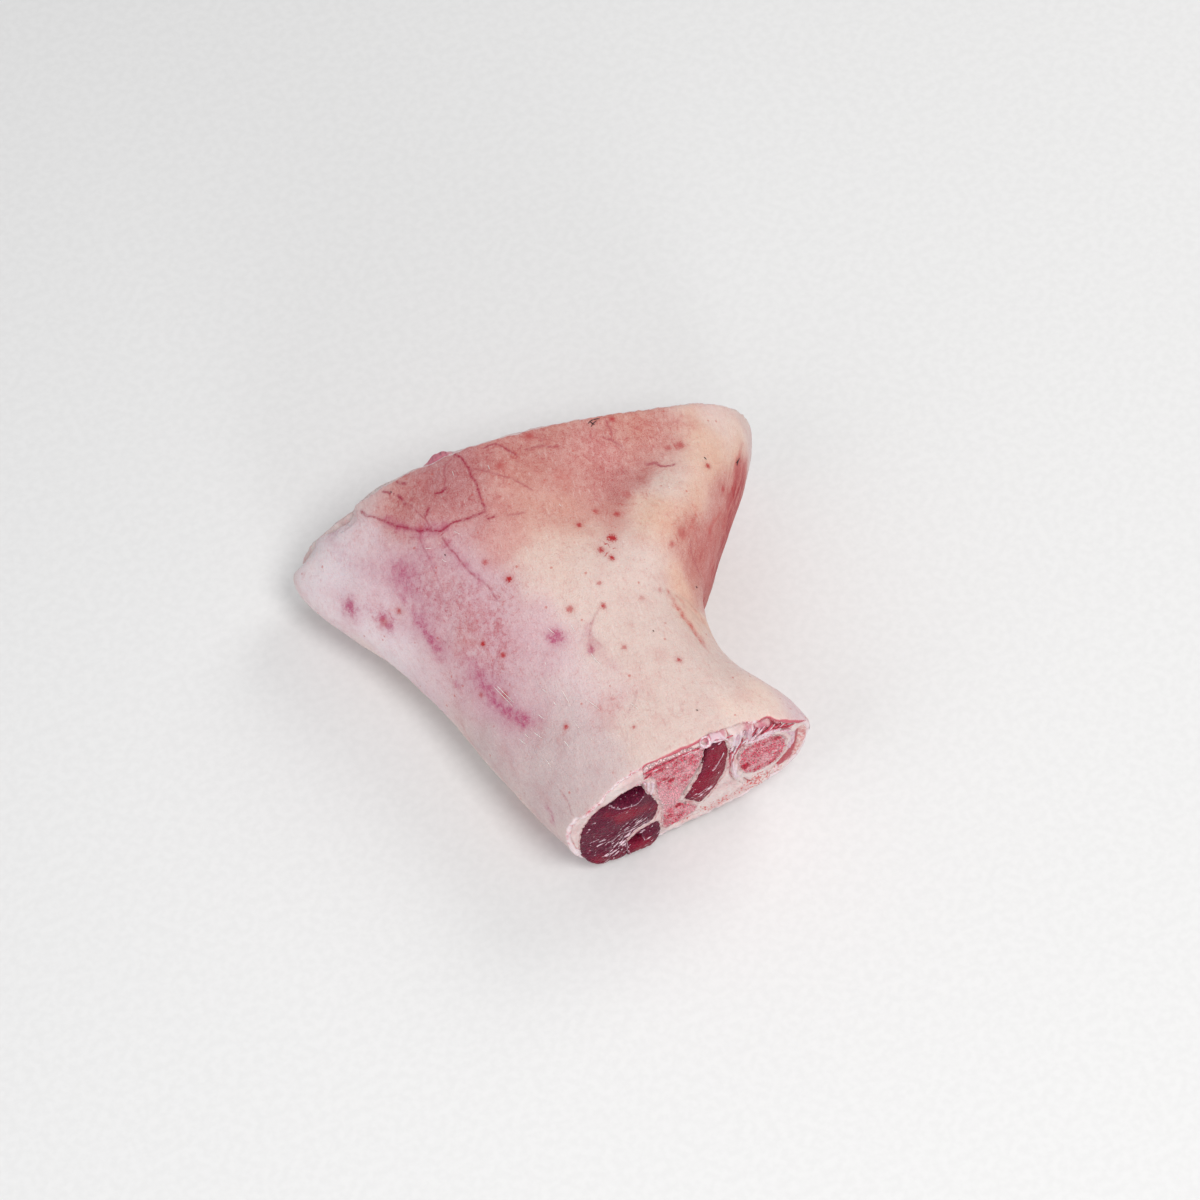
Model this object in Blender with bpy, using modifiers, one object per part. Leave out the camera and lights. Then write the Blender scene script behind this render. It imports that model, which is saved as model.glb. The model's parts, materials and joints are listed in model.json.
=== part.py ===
"""A raw pork hock on its side: rind and fat wrapped round meat and two bones, sawn off at both ends.

Metres, +Z up. The leg runs along Y: its narrow sawn end faces -Y, and its wide end faces +Y.
+X is the back of the leg, with the heel at the narrow end and the flared corner at the wide end.
The origin is at the middle of the underside.
"""

import math
from typing import NamedTuple

import bmesh
import bpy
from mathutils import Euler, Vector

MM = 0.001

# Driving sizes, in millimetres.
NARROW_CUT_Y = -77.0
WIDE_CUT_Y = 62.0
WIDE_CUT_TURN = -6.8  # degrees about Z, so the back of the leg is shorter than its front
FIT_GAP = 0.3  # left between the meat, the bones and what holds them
BLOCK_SIDE = 400.0  # of the blocks that stand for all that the saw and the table take away
MIDDLE = Vector((-0.6, -2.4, 0.0))  # of the slices below, seen from above: it becomes the origin

# How many steps go round each lofted ring, and how often it is subdivided.
CROWN_STEPS, BASE_STEPS, LEG_LEVELS = 10, 6, 2
CORE_STEPS, CORE_LEVELS = 10, 1


class LegSlice(NamedTuple):
    """A slice across the leg at y, by the places of its front, back, crown and base.

    The shoulder, between front and crown, is a superellipse power: 1 is a straight slope, 2 an ellipse.
    """

    y: float
    front: float
    back: float
    front_z: float
    back_z: float
    crown: float
    crown_z: float
    base: float
    base_z: float
    shoulder: float


class CoreSlice(NamedTuple):
    """A slice across a bone or muscle, by its middle and half sizes; its top may be wider, or lean back."""

    y: float
    x: float
    z: float
    half_width: float
    half_height: float
    widening: float = 0.0
    lean: float = 0.0


# Slices run from past the narrow end to past the wide end. The heel is near the narrow end, before the waist.
LEG = (
    LegSlice(-97, -42, 49, 38, 38, 2, 61, -20, 5, 2.1),
    LegSlice(-77, -45, 50, 36, 38, 2, 63, -20, 4, 2.1),
    LegSlice(-62, -50, 47, 30, 36, 2, 64, -16, 1, 2.1),
    LegSlice(-47, -53.5, 36, 28, 33, 0, 65, -12, 0, 2.0),
    LegSlice(-32, -57, 33.5, 27, 31, -2, 66, -12, -0.5, 1.95),
    LegSlice(-17, -60, 36.5, 26, 30, -3, 67, -12, -0.5, 1.9),
    LegSlice(-9, -61.5, 42, 25, 28, -4, 69, -10, -0.5, 1.9),
    LegSlice(4, -65, 53, 25, 26, -5, 72, -6, -0.5, 1.85),
    LegSlice(20, -71, 68, 24, 25, -7, 74, -2, -0.5, 1.75),
    LegSlice(38, -81, 84, 24, 23, -10, 74, 0, -0.5, 1.65),
    LegSlice(56, -90, 93, 23, 20, -14, 71, 2, 0, 1.55),
    LegSlice(82, -93, 94, 22, 18, -16, 66, 2, 1, 1.45),
)
CROWN_POWER = 2.1
BASE_POWER = 2.7

# Soft relief of the upper side, as (start, end, reach, rise): a ridge to the flared corner, and its hollow.
CORNER_RIDGE = (Vector((78, 48)), Vector((34, 8)), 11.0, 8.0)
CORNER_HOLLOW = (Vector((10, 20)), Vector((48, 40)), 13.0, -13.0)

# The front muscle and the back muscle are apart at the sawn end and have joined before the wide end.
FRONT_MUSCLE = (
    CoreSlice(-97, -26, 25.5, 14.5, 20),
    CoreSlice(-77, -26, 25.5, 14.5, 20),
    CoreSlice(-45, -31, 27, 16.5, 19),
    CoreSlice(0, -37, 30, 20, 18),
    CoreSlice(20, -40, 30, 23, 18),
    CoreSlice(45, -45, 29, 29, 18),
    CoreSlice(82, -46, 28, 31, 16),
)
BACK_MUSCLE = (
    CoreSlice(-97, 7, 38, 7, 20.5, 0.0, 0.2),
    CoreSlice(-77, 7, 38, 7, 20.5, 0.0, 0.2),
    CoreSlice(-45, 9, 39, 11, 20, 0.0, 0.15),
    CoreSlice(-5, 10, 39, 22, 22),
    CoreSlice(35, 10, 37, 48, 26),
    CoreSlice(82, 14, 34, 53, 24),
)
LARGE_BONE = (
    CoreSlice(-97, -5.5, 34, 7.5, 24, 0.45),
    CoreSlice(-77, -5.5, 34, 7.5, 24, 0.45),
    CoreSlice(-52, -7, 34, 8, 18, 0.25),
    CoreSlice(-20, -9, 33, 9, 13),
    CoreSlice(20, -12, 32, 11, 13),
    CoreSlice(50, -15, 32, 17, 16, -0.1),
    CoreSlice(82, -17, 32, 21, 18, -0.2),
)
SMALL_BONE = (
    CoreSlice(-97, 29.3, 34.7, 9.8, 11.3),
    CoreSlice(-77, 29.3, 34.7, 9.8, 11.3),
    CoreSlice(-52, 24, 32, 7.5, 9),
    CoreSlice(-20, 16, 29, 5.5, 6.5),
    CoreSlice(20, 19, 27, 6, 6.5),
    CoreSlice(50, 23, 26, 8, 7.5),
    CoreSlice(82, 26, 26, 9.5, 8.5),
)
CORE_POWER = 2.4

RIND_COLOUR = (0.80, 0.56, 0.50, 1.0)
MEAT_COLOUR = (0.25, 0.05, 0.07, 1.0)
BONE_COLOUR = (0.65, 0.22, 0.26, 1.0)
ROUGHNESS = 0.45


def clear_scene():
    for old in list(bpy.data.objects):
        bpy.data.objects.remove(old, do_unlink=True)


def new_collection(name):
    collection = bpy.data.collections.new(name)
    bpy.context.scene.collection.children.link(collection)
    return collection


def superellipse_point(angle, power):
    """A point on a rounded unit square, as its share of the way to the side and to the top."""
    across, up = math.cos(angle), math.sin(angle)
    return (
        math.copysign(abs(across) ** (2 / power), across),
        math.copysign(abs(up) ** (2 / power), up),
    )


def swell(step):
    """Subdivision pulls a ring inside its corners, a step apart, so they are drawn this much further out."""
    return 3 / (2 + math.cos(step))


def rise_at(place, relief):
    """How far a soft ridge or hollow lifts the surface at a place seen from above."""
    start, end, reach, rise = relief
    along = (place - start).dot(end - start) / (end - start).length_squared
    nearest = start.lerp(end, min(1, max(0, along)))
    return rise * math.exp(-(((place - nearest).length / reach) ** 2))


def leg_ring(part):
    """Points round one slice of the leg, from its back over its crown, and closer together over the crown."""
    crown_step, base_step = math.pi / CROWN_STEPS, math.pi / BASE_STEPS
    angles = [(i * crown_step, crown_step) for i in range(CROWN_STEPS)]
    angles += [(math.pi + i * base_step, base_step) for i in range(BASE_STEPS)]
    ring = []
    for angle, step in angles:
        at_front = math.cos(angle) < 0
        is_upper = math.sin(angle) >= 0
        power = BASE_POWER
        if is_upper:
            power = part.shoulder if at_front else CROWN_POWER
        across, up = superellipse_point(angle, power)
        side, side_z = (part.front, part.front_z) if at_front else (part.back, part.back_z)
        tip, tip_z = (part.crown, part.crown_z) if is_upper else (part.base, part.base_z)
        x = tip + abs(across) * (side - tip) * swell(step)
        z = side_z + abs(up) * (tip_z - side_z) * swell(step)
        if is_upper:
            place = Vector((x, part.y))
            z += up * (rise_at(place, CORNER_RIDGE) + rise_at(place, CORNER_HOLLOW))
        ring.append(Vector((x, part.y, z)))
    return ring


def core_ring(part, gap=0.0):
    """Points round one slice of a bone or muscle, grown by a gap when it is the hollow that holds it."""
    step = math.tau / CORE_STEPS
    ring = []
    for i in range(CORE_STEPS):
        across, up = superellipse_point(i * step, CORE_POWER)
        rise = up * (part.half_height + gap) * swell(step)
        reach = across * (part.half_width * (1 + part.widening * up) + gap) * swell(step)
        ring.append(Vector((part.x + reach + part.lean * rise, part.y, part.z + rise)))
    return ring


def loft(name, rings, levels, collection):
    """A closed body through rings of equal count, rounded by subdivision."""
    shape = bmesh.new()
    loops = [[shape.verts.new((point - MIDDLE) * MM) for point in ring] for ring in rings]
    count = len(loops[0])
    for near, far in zip(loops, loops[1:]):
        for i in range(count):
            j = (i + 1) % count
            shape.faces.new((near[i], near[j], far[j], far[i]))
    shape.faces.new(loops[0])
    shape.faces.new(loops[-1])
    bmesh.ops.recalc_face_normals(shape, faces=shape.faces)
    mesh = bpy.data.meshes.new(name)
    shape.to_mesh(mesh)
    shape.free()
    mesh.shade_smooth()
    made = bpy.data.objects.new(name, mesh)
    collection.objects.link(made)
    rounding = made.modifiers.new("rounding", "SUBSURF")
    rounding.levels = rounding.render_levels = levels
    # A body and the hollow that holds it are split along the same diagonals, so their gap stays even.
    splitting = made.modifiers.new("splitting", "TRIANGULATE")
    splitting.quad_method = "FIXED"
    return made


def core(name, slices, collection, gap=0.0):
    return loft(name, [core_ring(part, gap) for part in slices], CORE_LEVELS, collection)


def plain_material(name, colour):
    material = bpy.data.materials.new(name)
    material.use_nodes = True
    surface = material.node_tree.nodes["Principled BSDF"]
    surface.inputs["Base Color"].default_value = colour
    surface.inputs["Roughness"].default_value = ROUGHNESS
    surface.inputs["Metallic"].default_value = 0.0
    return material


def as_cutter(cutter):
    cutter.hide_render = True
    cutter.display_type = "WIRE"
    return cutter


def saw_block(name, face_at, removes_toward, collection, turn=0.0):
    """A large block whose one face lies at face_at, and which takes away all that is past that face."""
    bpy.ops.mesh.primitive_cube_add(size=BLOCK_SIDE * MM)
    block = bpy.context.active_object
    block.name = name
    block.rotation_euler = Euler((0, 0, math.radians(turn)))
    away = Vector(removes_toward)
    away.rotate(block.rotation_euler)
    block.location = (Vector(face_at) + away * BLOCK_SIDE / 2 - MIDDLE) * MM
    for home in list(block.users_collection):
        home.objects.unlink(block)
    collection.objects.link(block)
    return as_cutter(block)


def combine(target, operation, tools):
    for tool in tools:
        step = target.modifiers.new(tool.name, "BOOLEAN")
        step.operation = operation
        step.solver = "EXACT"
        step.object = tool


def main():
    clear_scene()
    hock = new_collection("pork_hock")
    cutters = new_collection("cutters")

    saws = [
        saw_block("narrow_saw", (0, NARROW_CUT_Y, 0), (0, -1, 0), cutters),
        saw_block("wide_saw", (0, WIDE_CUT_Y, 0), (0, 1, 0), cutters, WIDE_CUT_TURN),
    ]
    table = saw_block("table", (0, 0, 0), (0, 0, -1), cutters)
    back_muscle = as_cutter(core("back_muscle", BACK_MUSCLE, cutters))
    hollows = {
        name: as_cutter(core(name + "_hollow", slices, cutters, FIT_GAP))
        for name, slices in (
            ("front_muscle", FRONT_MUSCLE),
            ("back_muscle", BACK_MUSCLE),
            ("large_bone", LARGE_BONE),
            ("small_bone", SMALL_BONE),
        )
    }

    rind_and_fat = loft("rind_and_fat", [leg_ring(part) for part in LEG], LEG_LEVELS, hock)
    rind_and_fat.data.materials.append(plain_material("rind", RIND_COLOUR))
    combine(rind_and_fat, "DIFFERENCE", [*saws, table, *hollows.values()])

    meat = core("meat", FRONT_MUSCLE, hock)
    meat.data.materials.append(plain_material("meat", MEAT_COLOUR))
    combine(meat, "UNION", [back_muscle])
    combine(meat, "DIFFERENCE", [*saws, hollows["large_bone"], hollows["small_bone"]])

    bone_material = plain_material("bone", BONE_COLOUR)
    for name, slices in (("large_bone", LARGE_BONE), ("small_bone", SMALL_BONE)):
        bone = core(name, slices, hock)
        bone.data.materials.append(bone_material)
        combine(bone, "DIFFERENCE", saws)


main()
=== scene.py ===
"""The look of a raw pork hock on its side: soft pale rind, and two sawn ends of fat, meat and bone.

Metres, +Z up. The narrow sawn end faces -Y and the wide end +Y. The heel and the flared corner are at +X.
Sizes of details are in millimetres, and places on the rind are pixels of the 1200 x 1200 photograph.
"""

import json
import math
import random
from collections import Counter
from typing import NamedTuple

import bpy
import numpy as np
from mathutils import Matrix, Vector, kdtree, noise
from mathutils.bvhtree import BVHTree

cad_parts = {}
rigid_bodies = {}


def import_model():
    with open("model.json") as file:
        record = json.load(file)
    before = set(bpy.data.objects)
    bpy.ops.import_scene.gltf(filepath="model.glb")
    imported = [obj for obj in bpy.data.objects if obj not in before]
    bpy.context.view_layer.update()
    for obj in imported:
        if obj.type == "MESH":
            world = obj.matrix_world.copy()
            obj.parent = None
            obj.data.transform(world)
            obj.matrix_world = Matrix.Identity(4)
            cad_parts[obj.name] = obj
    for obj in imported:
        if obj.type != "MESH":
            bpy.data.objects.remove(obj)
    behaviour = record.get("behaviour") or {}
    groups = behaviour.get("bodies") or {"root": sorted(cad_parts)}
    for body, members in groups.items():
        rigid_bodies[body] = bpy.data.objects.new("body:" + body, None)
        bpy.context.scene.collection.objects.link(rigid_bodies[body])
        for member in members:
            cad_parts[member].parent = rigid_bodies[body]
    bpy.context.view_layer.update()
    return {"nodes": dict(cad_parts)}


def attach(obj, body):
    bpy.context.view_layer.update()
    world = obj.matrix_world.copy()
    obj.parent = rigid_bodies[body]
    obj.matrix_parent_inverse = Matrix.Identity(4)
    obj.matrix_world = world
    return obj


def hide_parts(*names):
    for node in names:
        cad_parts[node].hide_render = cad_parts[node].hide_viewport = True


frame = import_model()

MM = 0.001
MERGE_GAP, TUBE_MERGE_GAP = 0.00001, 0.000002  # metres

# ---------------------------------------------------------------- driving sizes

# The photograph's camera: pixels are of its 1200 x 1200 frame.
PHOTO_WIDTH = 1200
FOCAL_PIXELS = 4276
SENSOR_WIDTH = 36
CAMERA_AZIMUTH = math.radians(-25.4)
CAMERA_RISE = math.radians(60)
CAMERA_DISTANCE = 1.5394
CAMERA_AIM = Vector((0.0046, 0.0047, 0.0379))

# The skin, in millimetres.
SKIN_MESH = 0.95
RIM_THICKNESS = 1.9
NEST_DEPTH = 12.0  # of the hollow at each sawn end that the fat, meat and bone fill
ON_CUT = 0.05  # how far off a cut its own places may lie
RIM_KEPT = (1.5, 7)  # from a rim, where the smoothing of the skin sets in
FACET_ROUNDS = 26  # of smoothing

# The pieces of the sawn ends, in millimetres.
FAT_INSET = 1.3
FAT_LAP = 0.45  # of the fat over the meat and bone that it holds
PLUG_DEPTH = 10.5
SINEW_DEPTH = 4.0
CORE_OVERLAP = 1.5  # of the faces at the cuts with what runs through behind them
RECESS_DEPTH, HOLE_DEPTH, GAP_DEPTH = 8.0, 5.5, 5.0  # in two muscles, and beside the large bone
FAT_DROP, WIDE_FAT_DROP = 8.5, 6  # how deep the fat lies under the meat and bone
TEETH_SIZE = 2.2  # of the ragged teeth along an outline
FLAP_PLACE = -30  # of the loose membrane, across the wide end
LEVEL = (0, 1)  # a face without a rise
RAGGED, WIDE_RAGGED = 0.45, 0.9  # how far the teeth reach
NARROW_MESH, WIDE_MESH, SINEW_MESH = 0.36, 0.55, 0.3
GRID_MARGIN = 0.45  # of the mesh, between a face's grid and the outline that its edge is drawn out to


class SawnEnd:
    """A sawn end: places on it are (across, up) in millimetres, and heights stand out of it.

    What fills it draws in towards its middle with depth, by its taper over the depth of the nest.
    """

    def __init__(self, origin, outward, middle, taper):
        self.middle = np.array(middle)
        self.taper = taper
        self.outward = Vector(outward).normalized()
        self.up = Vector((0, 0, 1))
        self.across = self.outward.cross(self.up) * (1 if self.outward.y > 0 else -1)
        self.origin = Vector(origin) * MM
        rows = Matrix((self.across, self.up, self.outward)).transposed().to_4x4()
        self.matrix = Matrix.Translation(self.origin) @ rows

    def height_of(self, points):
        """How far points, in metres, stand out of the cut, in millimetres."""
        return (points - np.array(self.origin)) @ np.array(self.outward) / MM

    def flat(self, points):
        """The (across, up) places of points in metres."""
        away = points - np.array(self.origin)
        return np.stack([away @ np.array(self.across), away @ np.array(self.up)], -1) / MM


# Across the narrow end is measured from its left edge, and across the wide end from its middle.
NARROW_END = SawnEnd((-43.4, -74.6, 0), (0, -1, 0), (46, 34), 0.93)
WIDE_END = SawnEnd((0.6, 64.4, 0), (0.118, 0.993, 0), (0, 34), 0.82)
SAWN_ENDS = (NARROW_END, WIDE_END)


# ---------------------------------------------------------------- geometry by numbers

POINTS_AT_ONCE = 4000  # whose distances to a path are worked out together


def smoothstep(low, high, value):
    share = np.clip((value - low) / (high - low), 0, 1)
    return share * share * (3 - 2 * share)


def fade(gap, reach):
    """1 where there is no gap, falling away softly over the reach."""
    return np.exp(-((gap / reach) ** 2))


def curve_through(points, closed=False, steps=6):
    """A smooth curve through points, as many closer points."""
    points = np.array(points, float)
    count = len(points)
    spans = count if closed else count - 1
    curve = []
    for i in range(spans):
        near = [(i + k) % count if closed else min(max(i + k, 0), count - 1) for k in (-1, 0, 1, 2)]
        a, b, c, d = points[near]
        for t in np.arange(steps) / steps:
            bend = (2 * a - 5 * b + 4 * c - d) * t * t + (3 * b - a - 3 * c + d) * t**3
            curve.append(b + 0.5 * ((c - a) * t + bend))
    if not closed:
        curve.append(points[-1])
    return np.array(curve)


def nearest_on(points, path, closed=False):
    """Each point's distance to a path, and the nearest place on it."""
    starts = path if closed else path[:-1]
    ends = np.roll(path, -1, axis=0) if closed else path[1:]
    spans = ends - starts
    lengths = (spans**2).sum(-1) + 1e-12
    gaps, places = [], []
    for few in np.array_split(points, max(1, len(points) // POINTS_AT_ONCE)):
        away = few[:, None] - starts
        share = np.clip((away * spans).sum(-1) / lengths, 0, 1)
        nearest = starts + share[..., None] * spans
        gap = np.linalg.norm(few[:, None] - nearest, axis=-1)
        rows = np.arange(len(few))
        best = gap.argmin(1)
        gaps.append(gap[rows, best])
        places.append(nearest[rows, best])
    return np.concatenate(gaps), np.concatenate(places)


def depth_inside(points, outline):
    """How far inside a closed outline each point lies, negative outside it."""
    gap, _ = nearest_on(points, outline, closed=True)
    x, y = points[:, 0:1], points[:, 1:2]
    ax, ay = outline[:, 0], outline[:, 1]
    bx, by = np.roll(ax, -1), np.roll(ay, -1)
    spans = (ay > y) != (by > y)
    crossed = x < (bx - ax) * (y - ay) / np.where(by == ay, 1e-9, by - ay) + ax
    within = (spans & crossed).sum(1) % 2 == 1
    return np.where(within, gap, -gap)


def warped(places, size, reach, seed):
    """Places moved about by smooth noise, so that what is painted around them has uneven edges."""
    steps = [ripple(places / MM, size, seed + k) for k in range(3)]
    return places + np.stack(steps, -1) * (reach * MM)


def ripple(points, size, seed, octaves=2):
    """Smooth noise of about -1 to 1 at points in millimetres, with bumps about size apart."""
    shift = Vector((seed * 17.3, seed * -9.1, seed * 5.7))
    if points.shape[1] == 2:
        points = np.pad(points, ((0, 0), (0, 1)))
    return np.array([noise.fractal(Vector(p) / size + shift, 1.0, 2.0, octaves) for p in points])


# ---------------------------------------------------------------- modelling by hand


def select_only(piece):
    bpy.ops.object.select_all(action="DESELECT")
    piece.select_set(True)
    bpy.context.view_layer.objects.active = piece


def object_mode():
    bpy.ops.object.mode_set(mode="OBJECT")


def edit_mode():
    bpy.ops.object.mode_set(mode="EDIT")


def choose(piece, kind, picked):
    """Goes to edit mode with just the picked faces or vertices selected."""
    edit_mode()
    bpy.ops.mesh.select_mode(type=kind)
    bpy.ops.mesh.select_all(action="DESELECT")
    object_mode()
    parts = piece.data.polygons if kind == "FACE" else piece.data.vertices
    parts.foreach_set("select", np.array(picked, bool))
    edit_mode()


def edit_whole(piece):
    """Goes to edit mode with all of a piece selected."""
    select_only(piece)
    edit_mode()
    bpy.ops.mesh.select_all(action="SELECT")


def vectors_of(items, field):
    """A vector that each item of a mesh has, such as each vertex's place, as rows."""
    flat = np.zeros(len(items) * 3)
    items.foreach_get(field, flat)
    return flat.reshape(-1, 3)


def places_of(piece):
    return vectors_of(piece.data.vertices, "co")


def move_to(piece, places):
    piece.data.vertices.foreach_set("co", places.astype(np.float32).ravel())
    piece.data.update()


def normals_of(piece):
    return vectors_of(piece.data.vertex_normals, "vector")


def paint(piece, **masks):
    """Stores a number, or a vector, at each vertex for the materials to read by the mask's name."""
    for name, values in masks.items():
        values = np.asarray(values, np.float32)
        kind, field = ("FLOAT", "value") if values.ndim == 1 else ("FLOAT_VECTOR", "vector")
        layer = piece.data.attributes.new(name, kind, "POINT")
        layer.data.foreach_set(field, values.ravel())


def apply_modifier(piece, kind, **settings):
    step = piece.modifiers.new(kind.lower(), kind)
    for key, value in settings.items():
        setattr(step, key, value)
    bpy.ops.object.modifier_apply(modifier=step.name)


def add_object(name, data):
    piece = bpy.data.objects.new(name, data)
    bpy.context.scene.collection.objects.link(piece)
    return piece


def copy_of(node, name):
    """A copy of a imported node's mesh, merged into one skin."""
    piece = add_object(name, frame["nodes"][node].data.copy())
    piece.data.materials.clear()
    edit_whole(piece)
    bpy.ops.mesh.remove_doubles(threshold=MERGE_GAP)
    object_mode()
    return piece


def join(name, pieces):
    """Joins pieces into one, which takes a new name."""
    select_only(pieces[0])
    for piece in pieces:
        piece.select_set(True)
    bpy.ops.object.join()
    pieces[0].name = pieces[0].data.name = name
    return pieces[0]


def finish_piece(piece, material, slot, *nodes):
    piece.data.materials.clear()
    piece.data.materials.append(material)
    select_only(piece)
    bpy.ops.object.shade_smooth()
    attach(piece, "root")
    if nodes:
        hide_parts(*nodes)


# ---------------------------------------------------------------- the photograph's view


def camera_axes():
    turn, rise = CAMERA_AZIMUTH, CAMERA_RISE
    right = Vector((math.cos(turn), math.sin(turn), 0))
    back = Vector((math.sin(turn) * math.cos(rise), -math.cos(turn) * math.cos(rise), math.sin(rise)))
    return right, back.cross(right), back


def camera_place():
    return CAMERA_AIM + camera_axes()[2] * CAMERA_DISTANCE


def sight_through(x, y):
    """The direction in which the camera sees a pixel of the photograph."""
    right, up, back = camera_axes()
    across, down = (x - PHOTO_WIDTH / 2) / FOCAL_PIXELS, (y - PHOTO_WIDTH / 2) / FOCAL_PIXELS
    return (right * across - up * down - back).normalized()


class Finder:
    """Finds the place on a piece's surface that the photograph shows at a pixel."""

    def __init__(self, piece):
        self.tree = BVHTree.FromObject(piece, bpy.context.evaluated_depsgraph_get())

    def at(self, x, y):
        place, facing, _, _ = self.tree.ray_cast(camera_place(), sight_through(x, y))
        return place, facing

    def along(self, pixels, steps=6):
        """Places along a smooth line through pixels, where the surface is hit."""
        hits = [self.at(*pixel)[0] for pixel in curve_through(pixels, steps=steps)]
        return [hit for hit in hits if hit]


def make_camera():
    data = bpy.data.cameras.new("photo_view")
    data.sensor_width = SENSOR_WIDTH
    data.lens = FOCAL_PIXELS / PHOTO_WIDTH * SENSOR_WIDTH
    data.clip_start, data.clip_end = 0.05, 20
    camera = add_object("photo_view", data)
    right, up, back = camera_axes()
    turn = Matrix((right, up, back)).transposed().to_4x4()
    camera.matrix_world = Matrix.Translation(camera_place()) @ turn
    bpy.context.scene.camera = camera


def area_light(name, place, size, power, colour=(1, 1, 1)):
    data = bpy.data.lights.new(name, "AREA")
    data.shape = "DISK"
    data.size = size
    data.energy = power
    data.color = colour
    light = add_object(name, data)
    light.location = place
    light.rotation_mode = "QUATERNION"
    light.rotation_quaternion = (light.location - CAMERA_AIM).to_track_quat("Z", "Y")


def make_studio():
    scene = bpy.context.scene
    scene.view_settings.view_transform = "Standard"
    scene.view_settings.look = "None"
    world = bpy.data.worlds.new("studio")
    scene.world = world
    world.use_nodes = True
    background = world.node_tree.nodes["Background"].inputs
    background["Color"].default_value = (0.97, 0.98, 1.0, 1)
    background["Strength"].default_value = 0.38
    area_light("key_light", (0.1, -0.6, 1.25), 0.55, 8.2, (1.0, 0.985, 0.965))
    area_light("left_light", (-1.0, -0.2, 0.8), 0.9, 3.2, (0.98, 0.99, 1.0))
    area_light("front_light", (-0.2, -1.25, 0.42), 0.5, 3.2)
    area_light("rim_light", (0.9, 0.4, 0.9), 0.7, 4.2, (1.0, 0.985, 0.965))


def make_floor():
    bpy.ops.mesh.primitive_plane_add(size=6, location=(0, 0, -0.0002))
    floor = bpy.context.active_object
    floor.name = "floor"
    finish = Finish("floor_paper")
    grain = finish.noise(size_mm=3.0, detail=2)
    colour = finish.mix(finish.band(grain, 0.3, 0.7), (0.80, 0.80, 0.80), (0.83, 0.83, 0.83))
    finish.surface(colour, 0.8)
    floor.data.materials.append(finish.material)


# ---------------------------------------------------------------- materials


def tone(red, green, blue):
    """A colour given as on a screen, 0 to 255, as the linear values that a shader takes."""
    shares = [channel / 255 for channel in (red, green, blue)]
    return tuple(s / 12.92 if s <= 0.04045 else ((s + 0.055) / 1.055) ** 2.4 for s in shares)


def arithmetic(operation, turned=False):
    """A method that adds a Math node for a wire and another term, which comes first where it is turned."""

    def method(wire, other):
        terms = (other, wire) if turned else (wire, other)
        return wire.finish.node("ShaderNodeMath", {"operation": operation}, dict(enumerate(terms)))

    return method


class Wire:
    """An output of a shader node. Arithmetic on wires and numbers adds Math nodes."""

    def __init__(self, finish, socket):
        self.finish = finish
        self.socket = socket

    __add__ = arithmetic("ADD")
    __radd__ = arithmetic("ADD", turned=True)
    __sub__ = arithmetic("SUBTRACT")
    __rsub__ = arithmetic("SUBTRACT", turned=True)
    __mul__ = arithmetic("MULTIPLY")
    __rmul__ = arithmetic("MULTIPLY", turned=True)
    __truediv__ = arithmetic("DIVIDE")
    __rtruediv__ = arithmetic("DIVIDE", turned=True)
    at_most = arithmetic("MINIMUM")


FLESH_SCATTER = {"Subsurface_Radius": (1.0, 0.35, 0.25), "Subsurface_Scale": 0.002}


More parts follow.
